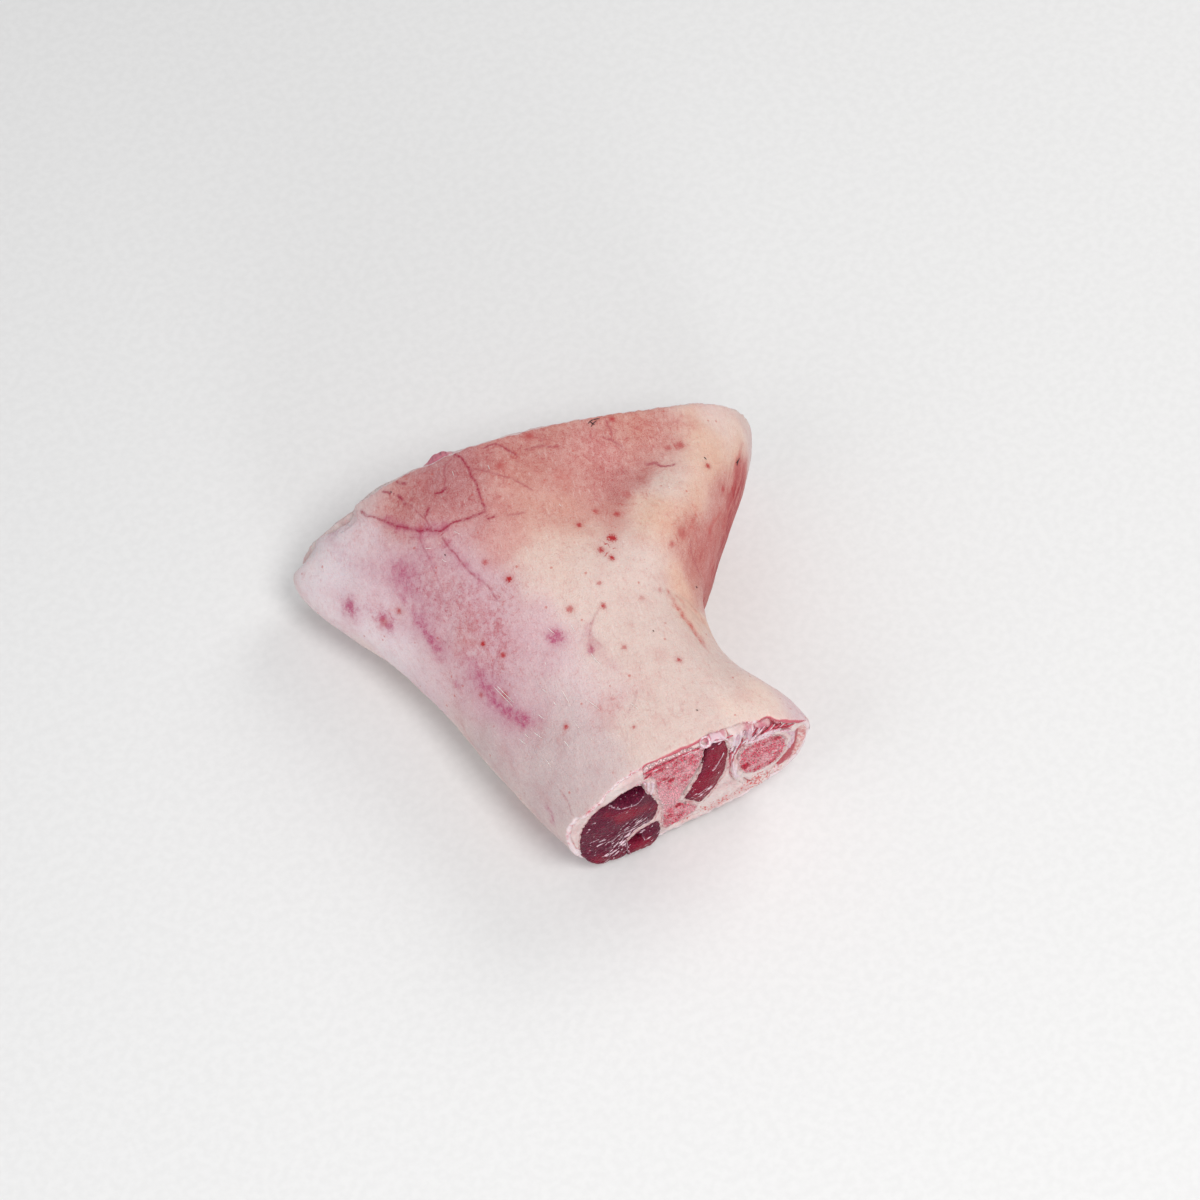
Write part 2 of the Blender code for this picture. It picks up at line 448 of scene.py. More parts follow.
class Finish:
    """A material whose nodes are added by name, and whose patterns are sized in millimetres."""

    def __init__(self, name):
        self.material = bpy.data.materials.new(name)
        self.material.use_nodes = True
        self.tree = self.material.node_tree
        self.tree.nodes.clear()

    def node(self, kind, settings=None, sockets=None, output=0):
        """Adds a node: its settings first, then the values or wires of its sockets."""
        made = self.tree.nodes.new(kind)
        for key, value in (settings or {}).items():
            setattr(made, key, value)
        for key, value in (sockets or {}).items():
            if isinstance(value, Wire):
                self.tree.links.new(value.socket, made.inputs[key])
            elif isinstance(value, tuple) and made.inputs[key].type == "RGBA":
                made.inputs[key].default_value = (*value, 1)
            else:
                made.inputs[key].default_value = value
        return Wire(self, made.outputs[output]) if made.outputs else None

    def coordinates(self, stretch=(1, 1, 1), turn=(0, 0, 0)):
        """Object coordinates in millimetres, turned, and drawn out along an axis by its stretch."""
        place = self.node("ShaderNodeTexCoord", output="Object")
        scale = tuple(1 / MM / share for share in stretch)
        kind = {"vector_type": "POINT"}
        turned = self.node("ShaderNodeMapping", kind, {"Vector": place, "Rotation": turn})
        return self.node("ShaderNodeMapping", kind, {"Vector": turned, "Scale": scale})

    def noise(self, size_mm, detail=3, roughness=0.5, warp=0.0, where=None):
        sockets = {
            "Vector": where or self.coordinates(),
            "Scale": 1 / size_mm,
            "Detail": detail,
            "Roughness": roughness,
            "Distortion": warp,
        }
        return self.node("ShaderNodeTexNoise", None, sockets, "Fac")

    def cells(self, size_mm, feature="F1"):
        sockets = {"Vector": self.coordinates(), "Scale": 1 / size_mm}
        return self.node("ShaderNodeTexVoronoi", {"feature": feature}, sockets, "Distance")

    def painted(self, name, output="Fac"):
        return self.node("ShaderNodeAttribute", {"attribute_name": name}, output=output)

    def ridge(self, noise):
        """1 along the winding lines where a noise is at its middle, falling away at each side."""
        return 1 - self.node("ShaderNodeMath", {"operation": "ABSOLUTE"}, {0: noise - 0.5}) * 2

    def band(self, value, low, high):
        """0 below low, 1 above high, and smooth between; falling where high is below low."""
        sockets = {"Value": value, "From Min": low, "From Max": high}
        return self.node("ShaderNodeMapRange", {"interpolation_type": "SMOOTHSTEP"}, sockets)

    def mix(self, share, low, high, blend="MIX"):
        settings = {"data_type": "RGBA", "blend_type": blend, "clamp_factor": True}
        return self.node("ShaderNodeMix", settings, {0: share, 6: low, 7: high}, 2)

    def laid_over(self, colour, *coats):
        """A colour with coats laid over it in turn: each has its share, its colour and maybe its blend."""
        for share, coat, *blend in coats:
            colour = self.mix(share, colour, coat, *blend)
        return colour

    def bump(self, height, depth_mm):
        sockets = {"Height": height, "Distance": depth_mm * MM, "Strength": 1.0}
        return self.node("ShaderNodeBump", None, sockets)

    def surface(self, colour, roughness, normal=None, **constants):
        sockets = {"Base Color": colour, "Roughness": roughness}
        if normal:
            sockets["Normal"] = normal
        sockets.update({key.replace("_", " "): value for key, value in constants.items()})
        shader = self.node("ShaderNodeBsdfPrincipled", None, sockets)
        self.node("ShaderNodeOutputMaterial", None, {"Surface": shader})
        return self.material

    def flesh(self, colour, roughness, height, depth_mm, **constants):
        """A bumpy surface that lets light in as flesh does."""
        normal = self.bump(height, depth_mm)
        return self.surface(colour, roughness, normal, **constants, **FLESH_SCATTER)


REDDER = (0.84, 0.46, 0.47)  # what a colour is multiplied by to redden it


def skin_finish():
    """Scalded rind: pearly to rosy, with fine red mottling, hair lines, bruises and thin vessels."""
    finish = Finish("scalded_rind")
    band, painted = finish.band, finish.painted
    cloud = finish.noise(11, 3, 0.55)
    mottle = finish.noise(2.3, 4, 0.62)
    grit = finish.noise(0.55, 2, 0.6)
    hairline = finish.noise(0.7, 3, 0.6, where=finish.coordinates(stretch=(1, 5, 1), turn=(0, 0, 0.15)))
    flank_line = finish.noise(1.6, 3, 0.6, where=finish.coordinates(stretch=(1, 8, 2), turn=(0, 0, 0.6)))
    gritty, mottled = grit - 0.5, mottle - 0.5
    redness, flush = painted("redness"), painted("flush")
    # Red mottling in two sizes, which is denser where the skin is rosy.
    blush = band(mottle + cloud * 0.35 + redness * 0.2, 0.66, 0.96)
    speckle = band(grit * 0.6 + mottle * 0.4 + redness * 0.07, 0.52, 0.66)
    # Small freckles, wandering threads of red, and streaks of red on the flank.
    freckle = band(finish.cells(6) + gritty * 0.1, 0.11, 0.06) * band(cloud, 0.42, 0.5)
    wander = finish.noise(13, 2, 0.5, warp=0.6)
    thread = band(finish.ridge(wander), 0.972, 0.996) * band(mottle, 0.42, 0.6)
    streaky = flush * (band(flank_line, 0.42, 0.6) * 0.85 + 0.1)
    # Plum and rusty marks, small spots and broken vessels.
    grain = band(mottle * 0.65 + grit * 0.35, 0.32, 0.68) * 0.9 + 0.3
    spot = ink_at(finish, "spot", gritty * 2.6 + mottled)
    vessel = ink_at(finish, "vessel", gritty * 3.4 + mottled * 4.4)
    # The cut edge of the rind, raw in places.
    edge_tone = finish.mix(band(mottle, 0.5, 0.7) * 0.6, tone(234, 216, 219), tone(206, 120, 128))
    raw = band(painted("raw") + mottled * 1.2 + gritty, 0.35, 0.75)
    edge_tone = finish.mix(raw * 0.85, edge_tone, tone(196, 64, 86))

    colour = finish.laid_over(
        painted("tint", "Vector"),
        (band(cloud, 0.35, 0.7) * 0.12, tone(240, 222, 214)),
        (band(cloud, 0.5, 0.25) * 0.25, REDDER, "MULTIPLY"),
        (blush * (redness * 0.34 + 0.16), REDDER, "MULTIPLY"),
        (speckle * (redness * 0.36 + 0.16), REDDER, "MULTIPLY"),
        (band(hairline, 0.56, 0.74) * 0.22, tone(246, 232, 228)),
        (band(hairline, 0.45, 0.26) * 0.34, REDDER, "MULTIPLY"),
        (band(finish.ridge(grit), 0.86, 0.98) * 0.16, tone(248, 238, 232)),
        (freckle * 0.55, tone(192, 84, 72)),
        (thread * (redness * 0.4 + 0.1), tone(176, 70, 78)),
        (streaky.at_most(0.95), tone(168, 54, 58)),
        ((painted("plum") * grain * 0.7).at_most(0.85), tone(176, 70, 110)),
        ((painted("rust") * grain * 0.6).at_most(0.8), tone(190, 70, 64)),
        (spot, tone(176, 46, 50)),
        (vessel * (band(mottle, 0.36, 0.56) * 0.6 + 0.4), tone(156, 16, 58)),
        (band(painted("cut"), 0.35, 0.75), edge_tone),
    )
    height = band(finish.cells(0.8), 0.1, 0.5) * 0.3 + hairline * 0.6 + mottle * 0.9 + flank_line * flush
    roughness = band(mottle, 0.2, 0.8) * 0.14 + 0.38
    return finish.flesh(
        colour, roughness, height, 0.26, Subsurface_Weight=0.08, Specular_IOR_Level=0.12, Coat_Weight=0.03,
        Coat_Roughness=0.25,
    )


def ink_at(finish, name, ragged):
    """Dark cores and soft haloes at the nearest spots that were painted, with uneven edges."""
    offset, width = finish.painted(name + "_offset", "Vector"), finish.painted(name + "_width")
    length = finish.node("ShaderNodeVectorMath", {"operation": "LENGTH"}, {0: offset}, "Value")
    gap = length / width + ragged
    near = finish.band(finish.painted(name + "_gap") / width, 4.6, 3.2)
    ink = finish.band(gap, 1.6, 0.3) * 0.72 + finish.band(gap, 3.4, 0.2) * 0.3
    return ink.at_most(1.0) * near * finish.painted(name + "_ink")


# ---------------------------------------------------------------- the skin


def many(kind, *rows):
    """One mark or strand of a kind from each row of its values."""
    return tuple(kind(*row) for row in rows)


class Dab(NamedTuple):
    """A soft round spot: its middle, its reach in millimetres and its strength.

    On the skin a middle is a pixel of the photograph, and on the narrow end it is (across, up).
    """

    x: float
    y: float
    reach: float
    strength: float = 1.0


class Stroke(NamedTuple):
    """A line through places that are given as a dab's middle is, with its width in millimetres."""

    places: tuple
    width: float
    strength: float = 1.0


# The rind's tones on a screen, and where they lie. They are laid on like soft dabs of paint.
SKIN_TONES = {
    "pearl": (220, 198, 191),
    "lavender": (228, 214, 221),
    "lilac": (216, 188, 197),
    "mauve": (204, 164, 174),
    "grape": (196, 146, 163),
    "dove": (197, 174, 176),
    "cream": (215, 190, 182),
    "ivory": (236, 210, 194),
    "butter": (221, 176, 152),
    "salmon": (191, 118, 108),
    "rose": (205, 140, 134),
    "brick": (184, 118, 122),
    # A dusky tone that is mostly painted shade in the hollow beside the ridge.
    "dusk": (178, 103, 99),
    "flame": (184, 76, 71),
}
SKIN_DABS = {
    "lavender": many(Dab, (318, 560, 13), (345, 555, 10), (330, 585, 11), (375, 625, 9), (400, 660, 9)),
    "lilac": many(
        Dab, (365, 580, 12), (352, 605, 9), (400, 625, 9), (425, 690, 9), (370, 530, 9, 0.8),
        (600, 700, 12, 0.3), (560, 670, 12, 0.2),
    ),
    "mauve": many(
        Dab, (400, 560, 11), (455, 560, 12), (480, 600, 12), (450, 635, 12), (500, 640, 12), (460, 680, 10),
        (505, 690, 10), (545, 640, 9, 0.3), (520, 720, 10), (425, 600, 10),
    ),
    "grape": many(Dab, (420, 625, 6), (485, 690, 8), (405, 585, 8, 0.8), (425, 545, 8, 0.6), (505, 712, 7)),
    "dove": many(
        Dab, (540, 745, 13), (490, 745, 10), (570, 780, 11), (560, 720, 10, 0.7), (545, 800, 10),
        (580, 830, 9), (585, 745, 9, 0.7), (610, 770, 8, 0.6),
    ),
    # The cream, ivory and butter dabs on the ridge that runs down from the flared corner are partly its own
    # cream colour and partly a painted highlight.
    "cream": many(
        Dab, (640, 660, 14), (690, 690, 14), (650, 615, 13), (730, 690, 11), (660, 720, 12), (700, 650, 10),
        (610, 590, 11), (640, 570, 10), (615, 630, 10, 0.7), (700, 625, 6, 0.7), (640, 540, 8, 0.7),
        (670, 485, 6), (630, 730, 9, 0.6), (560, 560, 11, 0.6),
    ),
    "ivory": many(Dab, (770, 705, 8), (765, 690, 7), (720, 415, 6, 1.2), (735, 430, 5), (740, 712, 5, 0.6)),
    "butter": many(
        Dab, (700, 440, 8), (715, 465, 7, 0.8), (690, 415, 6, 0.8), (560, 545, 12, 0.25),
        (660, 520, 9, 0.8), (690, 495, 8, 0.8), (680, 590, 7, 0.7), (735, 450, 6, 0.6), (700, 620, 6, 0.6),
        (690, 620, 6, 0.8), (612, 418, 8, 0.5), (562, 428, 8, 0.35), (642, 432, 7, 0.5), (505, 475, 9, 0.4),
        (545, 502, 9, 0.4), (676, 430, 5, 0.5), (520, 448, 6, 0.3), (585, 462, 6, 0.3),
    ),
    "salmon": many(
        Dab, (560, 440, 10), (610, 425, 8), (650, 415, 8), (640, 445, 9), (530, 460, 9),
        (575, 475, 10, 0.8), (690, 545, 8), (720, 490, 6), (695, 575, 6), (530, 500, 9, 0.7),
        (600, 510, 8, 0.6), (660, 440, 7), (720, 530, 7), (560, 515, 8, 0.5), (700, 520, 7),
    ),
    "rose": many(
        Dab, (490, 455, 8), (515, 440, 8), (500, 490, 9), (480, 520, 10, 0.8), (400, 500, 9), (590, 455, 8),
        (605, 440, 7), (675, 425, 6), (500, 540, 9, 0.5), (440, 520, 9, 0.7),
    ),
    "brick": many(
        Dab, (450, 485, 11, 1.2), (425, 490, 9), (460, 510, 8), (465, 460, 7), (410, 515, 7, 0.6),
    ),
    # Mostly painted shade in the hollow beside the ridge, over a dusky skin tone.
    "dusk": many(Dab, (630, 474, 5, 1.3), (612, 488, 6), (645, 460, 4, 1.1), (600, 470, 6, 0.6)),
    "flame": many(
        Dab, (741, 474, 5), (738, 492, 7, 1.2), (734, 512, 9, 1.4), (728, 532, 10, 1.4), (721, 552, 9, 1.4),
        (714, 574, 8, 1.4), (708, 592, 7, 1.2), (705, 605, 5, 0.8), (712, 540, 7, 0.6), (703, 560, 6, 0.5),
    ),
}
# Where the skin is mottled with red, and how much.
REDNESS = many(
    Dab, (450, 490, 18, 0.9), (520, 450, 16, 0.9), (590, 435, 15, 0.9), (650, 430, 12, 0.9),
    (610, 480, 12, 0.7), (400, 510, 11, 0.7), (470, 620, 14, 0.8), (430, 590, 12, 0.6), (500, 660, 12, 0.6),
    (690, 530, 13, 0.7), (560, 530, 12, 0.35), (380, 615, 7, 0.5), (460, 690, 9, 0.4), (610, 700, 8, 0.35),
    (700, 590, 8, 0.5), (510, 590, 10, 0.3),
)
# Where the flank is flushed with streaks of red.
FLUSH = many(
    Dab, (738, 490, 9, 0.7), (735, 510, 10, 0.9), (731, 528, 11, 1.0), (725, 546, 10, 0.9),
    (719, 562, 9, 0.8), (713, 578, 8, 0.8), (708, 592, 7, 0.8), (705, 603, 5, 0.6), (742, 462, 5, 0.5),
    (712, 530, 5, 0.3), (700, 545, 5, 0.35), (690, 560, 5, 0.2), (683, 535, 5, 0.3), (722, 490, 5, 0.25),
    (704, 565, 4, 0.4),
)
PLUM_MARKS = many(
    Dab, (556, 638, 3.2, 1.7), (350, 608, 4.0, 1.5), (384, 620, 3.6, 1.4), (404, 580, 8, 0.45),
    (398, 575, 5, 0.3), (368, 608, 2.4, 0.4), (390, 628, 2.2, 0.6), (428, 640, 3.0, 0.5),
    (592, 650, 1.6, 0.7), (457, 685, 1.8, 0.7), (547, 671, 4, 0.3), (440, 655, 4, 0.3),
    (420, 622, 2.0, 0.6), (333, 535, 2.5, 0.5),
)
PLUM_STREAKS = many(
    Stroke, (((482, 684), (491, 696), (503, 709), (518, 718), (530, 722)), 1.7, 0.8),
    (((476, 674), (487, 690), (500, 706), (520, 720)), 4.6, 0.5),
    (((512, 712), (526, 720), (540, 722)), 3.0, 0.4), (((424, 628), (431, 637), (437, 646)), 1.5, 1.0),
    (((385, 521), (400, 527), (415, 531), (430, 530), (446, 527)), 2.2, 0.9),
    (((446, 542), (458, 556), (468, 570), (482, 582)), 1.8, 0.55),
    (((420, 620), (430, 634), (440, 650)), 4.5, 0.4), (((465, 655), (475, 668), (490, 686)), 3.4, 0.35),
    (((591, 622), (589, 635), (591, 650)), 1.1, 0.5), (((395, 560), (420, 590), (440, 610)), 5.0, 0.3),
    (((400, 596), (414, 612), (426, 630)), 1.0, 0.6), (((548, 808), (552, 816), (553, 824)), 1.2, 0.9),
    (((336, 548), (350, 562), (372, 570)), 3.6, 0.35), (((420, 536), (424, 552), (432, 566)), 2.4, 0.35),
    (((440, 552), (455, 575), (470, 600), (500, 640)), 7.0, 0.22),
    (((594, 640), (604, 655), (616, 668)), 2.0, 0.25),
)
RUST_MARKS = many(
    Dab, (399, 611, 1.3, 0.8), (529, 436, 2.0, 0.7), (563, 477, 3.0, 0.6), (500, 466, 2.0, 0.5),
    (692, 424, 3.5, 0.5), (680, 445, 2.0, 0.7), (612, 538, 2.0, 1.1), (601, 550, 1.5, 0.9),
    (612, 558, 1.2, 1.0), (579, 525, 1.2, 0.9), (509, 579, 1.3, 1.1), (485, 562, 1.3, 0.7),
    (570, 609, 1.6, 0.7), (603, 606, 1.1, 0.9), (599, 583, 1.0, 0.6), (617, 514, 1.5, 0.8),
    (679, 660, 1.1, 0.9), (624, 647, 1.0, 0.6), (483, 644, 1.1, 1.0), (503, 655, 1.2, 0.9),
    (566, 727, 1.0, 0.9), (634, 727, 0.8, 0.7), (423, 484, 3.0, 0.6), (384, 622, 2.0, 0.5),
    (708, 466, 1.3, 0.9), (481, 538, 4.0, 0.35), (421, 528, 1.2, 0.5), (357, 538, 3.0, 0.4),
    (600, 418, 4.0, 0.35), (640, 425, 4.0, 0.35), (505, 695, 1.6, 0.6), (481, 695, 1.1, 0.6),
    (696, 535, 2.6, 0.5), (682, 533, 2.4, 0.5), (672, 544, 1.6, 0.6), (642, 598, 1.2, 0.4),
    (660, 590, 1.2, 0.4), (640, 682, 5.0, 0.22), (605, 707, 5.0, 0.28), (723, 489, 1.4, 0.7),
    (732, 489, 1.2, 0.6), (668, 448, 1.6, 0.6), (612, 419, 1.4, 0.8), (466, 640, 4.0, 0.35),
    (459, 655, 3.0, 0.4), (476, 621, 4.0, 0.3), (596, 511, 1.3, 0.6), (627, 495, 2.2, 0.5),
)
RUST_STREAKS = many(
    Stroke, (((668, 592), (677, 606), (688, 622), (702, 642)), 1.4, 0.9),
    (((676, 606), (684, 617), (694, 632), (706, 648)), 1.1, 0.8),
    (((689, 603), (696, 610), (703, 620)), 0.9, 0.9), (((677, 597), (682, 602)), 0.8, 0.9),
    (((697, 513), (693, 522), (690, 532)), 0.8, 0.7), (((709, 533), (714, 522), (721, 512)), 0.9, 0.9),
    (((684, 540), (688, 532), (694, 522)), 1.0, 0.5), (((735, 466), (739, 456), (743, 444)), 0.9, 0.8),
    (((713, 575), (712, 568), (714, 560)), 0.8, 0.9), (((732, 500), (725, 520), (716, 545)), 1.0, 0.5),
    (((706, 560), (704, 572), (706, 584)), 0.8, 0.6), (((461, 722), (468, 736), (480, 755)), 0.7, 0.6),
    (((566, 720), (565, 730), (558, 740)), 0.7, 0.4),
)
VESSELS = many(
    Stroke,
    (((361, 511), (366, 516), (374, 517), (385, 521), (396, 526), (410, 529), (420, 531)), 0.55, 0.75),
    (((420, 531), (430, 530), (441, 531), (450, 524), (462, 520), (474, 516), (485, 512)), 0.55, 0.9),
    (
        ((485, 512), (483, 503), (479, 495), (477, 484), (471, 476), (468, 468), (462, 459), (455, 454)),
        0.55, 0.85,
    ),
    (((452, 459), (446, 464), (444, 471), (445, 480), (444, 486)), 0.42, 0.45),
    (((432, 528), (424, 518), (416, 511), (410, 505)), 0.42, 0.5),
    (((398, 495), (403, 501), (406, 505)), 0.6, 0.9), (((426, 515), (429, 508)), 0.65, 1.0),
    (((435, 494), (441, 492), (445, 489)), 0.65, 1.0), (((384, 491), (390, 494)), 0.6, 0.8),
    (((397, 482), (406, 484)), 0.6, 0.8), (((488, 519), (493, 517)), 0.6, 0.8),
    (((420, 532), (420, 540), (424, 548), (430, 560), (437, 578), (443, 592)), 0.42, 0.3),
    (((442, 538), (450, 548), (457, 556), (464, 566), (474, 575), (487, 586), (497, 600)), 0.42, 0.6),
    (((468, 468), (485, 471), (500, 475), (515, 480), (532, 490)), 0.5, 0.45),
    (((484, 448), (495, 444), (506, 449), (516, 455)), 0.55, 0.7),
    (((646, 464), (655, 463), (662, 466), (673, 465)), 0.55, 0.8),
    (((604, 438), (614, 441), (622, 447)), 0.5, 0.6), (((606, 420), (609, 428), (612, 436)), 0.5, 0.5),
    (((525, 450), (533, 447), (545, 446), (557, 447)), 0.5, 0.45),
    (((508, 515), (516, 514), (524, 513)), 0.5, 0.4), (((500, 650), (494, 665), (492, 680)), 0.42, 0.4),
    (((598, 610), (592, 622), (589, 634), (591, 646), (593, 655)), 0.5, 0.4),
    (((589, 634), (595, 640), (602, 647)), 0.42, 0.25), (((636, 690), (634, 702), (628, 712)), 0.42, 0.3),
    (((700, 575), (694, 560), (690, 545)), 0.42, 0.4), (((560, 790), (568, 802), (572, 815)), 0.42, 0.35),
)
# Folds in the skin, by pixels of the photograph: width and depth are in millimetres.
FOLDS = many(
    Stroke, (((704, 611), (696, 604), (684, 594), (668, 588)), 1.8, 0.8),
    (((710, 628), (702, 620), (692, 608), (682, 600)), 1.3, 0.5),
    (((701, 640), (692, 628), (680, 612)), 1.6, 0.35), (((606, 496), (630, 478), (652, 460)), 7.0, 0.9),
    (((440, 606), (450, 622), (440, 640)), 2.0, 0.25),
)
# The crease at the waist runs down the back of the leg, in millimetres.
WAIST_CREASE = ((40, -11, 36), (39, -12.5, 28), (37, -13, 18), (34, -13, 6))
CREASE_DEPTH, CREASE_WIDTH = 2.2, 3.4
RIM_RAGGED = ((NARROW_END, 1.1), (WIDE_END, 0.5))


def shell_of_skin():
    """The rind's outer skin, closed at each sawn end by a nest for what the cut shows."""
    piece = copy_of("rind_and_fat", "rind")
    middles = vectors_of(piece.data.polygons, "center")
    choose(piece, "FACE", np.any([near_cut(middles, end) for end in SAWN_ENDS], axis=0))
    bpy.ops.mesh.delete(type="FACE")
    object_mode()
    top = places_of(piece)[:, 2].argmax()
    choose(piece, "VERT", np.arange(len(piece.data.vertices)) == top)
    bpy.ops.mesh.select_linked()
    bpy.ops.mesh.select_all(action="INVERT")
    bpy.ops.mesh.delete(type="VERT")
    object_mode()
    rims = [rim_of(piece, end) for end in SAWN_ENDS]
    for end in SAWN_ENDS:
        add_nest(piece, end)
    return piece, rims


def near_cut(places, end):
    return np.abs(end.height_of(places)) < ON_CUT


def rim_of(piece, end):
    """The skin's outline at a sawn end, in order round its middle."""
    places = places_of(piece)
    rim = end.flat(places[near_cut(places, end)])
    away = rim - (rim.min(0) + rim.max(0)) / 2
    return rim[np.argsort(np.arctan2(away[:, 1], away[:, 0]))]


def add_nest(piece, end):
    """Closes a sawn end with a rim, and a hollow behind it."""
    choose(piece, "VERT", near_cut(places_of(piece), end))
    bpy.ops.mesh.edge_face_add()
    bpy.ops.mesh.inset(thickness=RIM_THICKNESS * MM, depth=0)
    bpy.ops.mesh.extrude_region_move(
        TRANSFORM_OT_translate={"value": tuple(-end.outward * NEST_DEPTH * MM)}
    )
    bpy.ops.transform.resize(value=(end.taper, 1, end.taper))
    bpy.ops.mesh.select_all(action="SELECT")
    bpy.ops.mesh.normals_make_consistent(inside=False)
    object_mode()


def smooth_skin(piece):
    """Even quads all over, with the facets smoothed away and the rims kept."""
    apply_modifier(piece, "REMESH", mode="VOXEL", voxel_size=SKIN_MESH * MM)
    places = places_of(piece)
    from_rim = np.minimum(-NARROW_END.height_of(places), -WIDE_END.height_of(places))
    group = piece.vertex_groups.new(name="away_from_rims")
    for index, share in enumerate(smoothstep(*RIM_KEPT, from_rim)):
        group.add([index], float(share), "REPLACE")
    apply_modifier(piece, "SMOOTH", factor=0.5, iterations=FACET_ROUNDS, vertex_group=group.name)
    apply_modifier(piece, "SMOOTH", factor=0.5, iterations=2)
    piece.vertex_groups.clear()


def relieve_skin(piece, finder):
    """Soft swells, fine wrinkles, folds and ragged rims."""
    places, facing = places_of(piece), normals_of(piece)
    size = places / MM
    lift = 0.5 * ripple(size, 22, 1) + 0.06 * ripple(size, 1.9, 3)
    lift += 0.16 * ripple(size * (1, 0.45, 1), 5, 2)
    for fold in FOLDS:
        lift -= fold.strength * fade(gap_to(places, finder.along(fold.places)) / MM, fold.width)
    crease = np.linalg.norm(size[:, None] - curve_through(WAIST_CREASE), axis=-1).min(1)
    lift -= CREASE_DEPTH * np.exp(-crease / CREASE_WIDTH)
    lift *= smoothstep(0.1, 1.5, size[:, 2])
    places = places + facing * (lift * MM)[:, None]
    for end, reach in RIM_RAGGED:
        ragged = ripple(size, 5, 4) * 0.5 + ripple(size, 2.1, 5) * 0.5
        near = smoothstep(-4, -0.5, end.height_of(places))
        places += np.outer(near * ragged * reach * MM, np.array(end.outward))
    for end, edge, low, high in ((NARROW_END, TORN_EDGE, 40, 48), (WIDE_END, WIDE_TORN_EDGE, 12, 24)):
        across, up = end.flat(places).T
        torn = np.interp(across, *np.array(edge).T) * smoothstep(low, high, up)
        torn *= smoothstep(-9, -2, end.height_of(places))
        places -= np.outer(torn * MM, np.array(end.outward))
    places[:, 2] = np.maximum(places[:, 2], 0)
    move_to(piece, places)


def tree_of(points):
    tree = kdtree.KDTree(len(points))
    for i, point in enumerate(points):
        tree.insert(point, i)
    tree.balance()
    return tree


def gap_to(places, line):
    """Each place's distance to the nearest of a line's close points, or a metre where it has none."""
    if not line:
        return np.full(len(places), 1.0)
    tree = tree_of(line)
    return np.array([tree.find(place)[2] for place in places])


def spots_at(places, finder, dabs):
    """How strongly each place of the skin is covered by soft dabs."""
    cover = np.zeros(len(places))
    for dab in dabs:
        middle, _ = finder.at(dab.x, dab.y)
        if middle:
            gap = np.linalg.norm(places - np.array(middle), axis=1) / MM
            cover += dab.strength * fade(gap, dab.reach)
    return cover


def streaks_at(places, finder, strokes):
    """How strongly each place of the skin is covered by soft strokes."""
    cover = np.zeros(len(places))
    for stroke in strokes:
        cover += stroke.strength * fade(gap_to(places, finder.along(stroke.places)) / MM, stroke.width)
    return cover


# What is scattered over the skin that the photograph doesn't show: how many, their reach and strength.
UNSEEN_DABS = {
    "lilac": (7, 13, 0.9),
    "mauve": (6, 11, 0.7),
    "cream": (9, 13, 0.9),
    "salmon": (5, 10, 0.8),
    "rose": (4, 9, 0.8),
}
UNSEEN_REDNESS = (9, 13, 0.6)
UNSEEN_PLUM = (12, 2.4, 0.8)
UNSEEN_RUST = (9, 4, 0.4)
UNSEEN_SPOTS = (40, 1.0, 0.9)
TURNED_AWAY = -0.05  # less than this towards the camera is unseen
HIDDEN_SEED = 11
SPOT_REACH = 2.4  # marks that reach further are soft
SPOT_SHARE = 0.75  # of a small mark's reach that is dark
FAR_FROM_INK = 20  # millimetres, past which the distance to the nearest ink doesn't matter
MOST_COVER = 1.2  # that a mask holds
LINE_SHARE = 0.8  # of a line's width that is dark
BASE_WEIGHT = 0.12  # of the pearly ground under the dabs
RAW_ELSEWHERE = 0.45  # how raw the narrow rim is where it isn't over a bone


class Hidden:
    """The skin that the photograph doesn't show, for scattering things over it."""

    def __init__(self, places, facing):
        self.places = places
        self.spots = np.flatnonzero(facing @ np.array(camera_axes()[2]) < TURNED_AWAY)
        self.chance = random.Random(HIDDEN_SEED)

    def pick(self):
        """The number of one of its vertices."""
        return self.spots[self.chance.randrange(len(self.spots))]

    def cover(self, count, reach, strength):
        """How strongly each place of the skin is covered by scattered soft dabs."""
        total = 0
        for _ in range(count):
            gap = np.linalg.norm(self.places - self.places[self.pick()], axis=1) / MM
            total += strength * fade(gap, reach * self.chance.uniform(0.6, 1.4))
        return total

    def spots_on(self, count, width, strength):
        """Scattered small spots: their places, widths and strengths."""
        few = [self.places[self.pick()] for _ in range(count)]
        return [(place, width * self.chance.uniform(0.6, 1.4), strength) for place in few]


def paint_tint(piece, places, finder, hidden):
    """Blends the rind's tones as soft dabs, over its pearly ground."""
    places = warped(places, 15, 5.0, 60)
    total = np.full(len(places), BASE_WEIGHT)
    blend = np.outer(total, SKIN_TONES["pearl"])
    for name, tint in SKIN_TONES.items():
        cover = spots_at(places, finder, SKIN_DABS.get(name, ()))
        if name in UNSEEN_DABS:
            cover += hidden.cover(*UNSEEN_DABS[name])
        total += cover
        blend += np.outer(cover, tint)
    shares = blend / total[:, None] / 255
    paint(piece, tint=((shares + 0.055) / 1.055) ** 2.4)


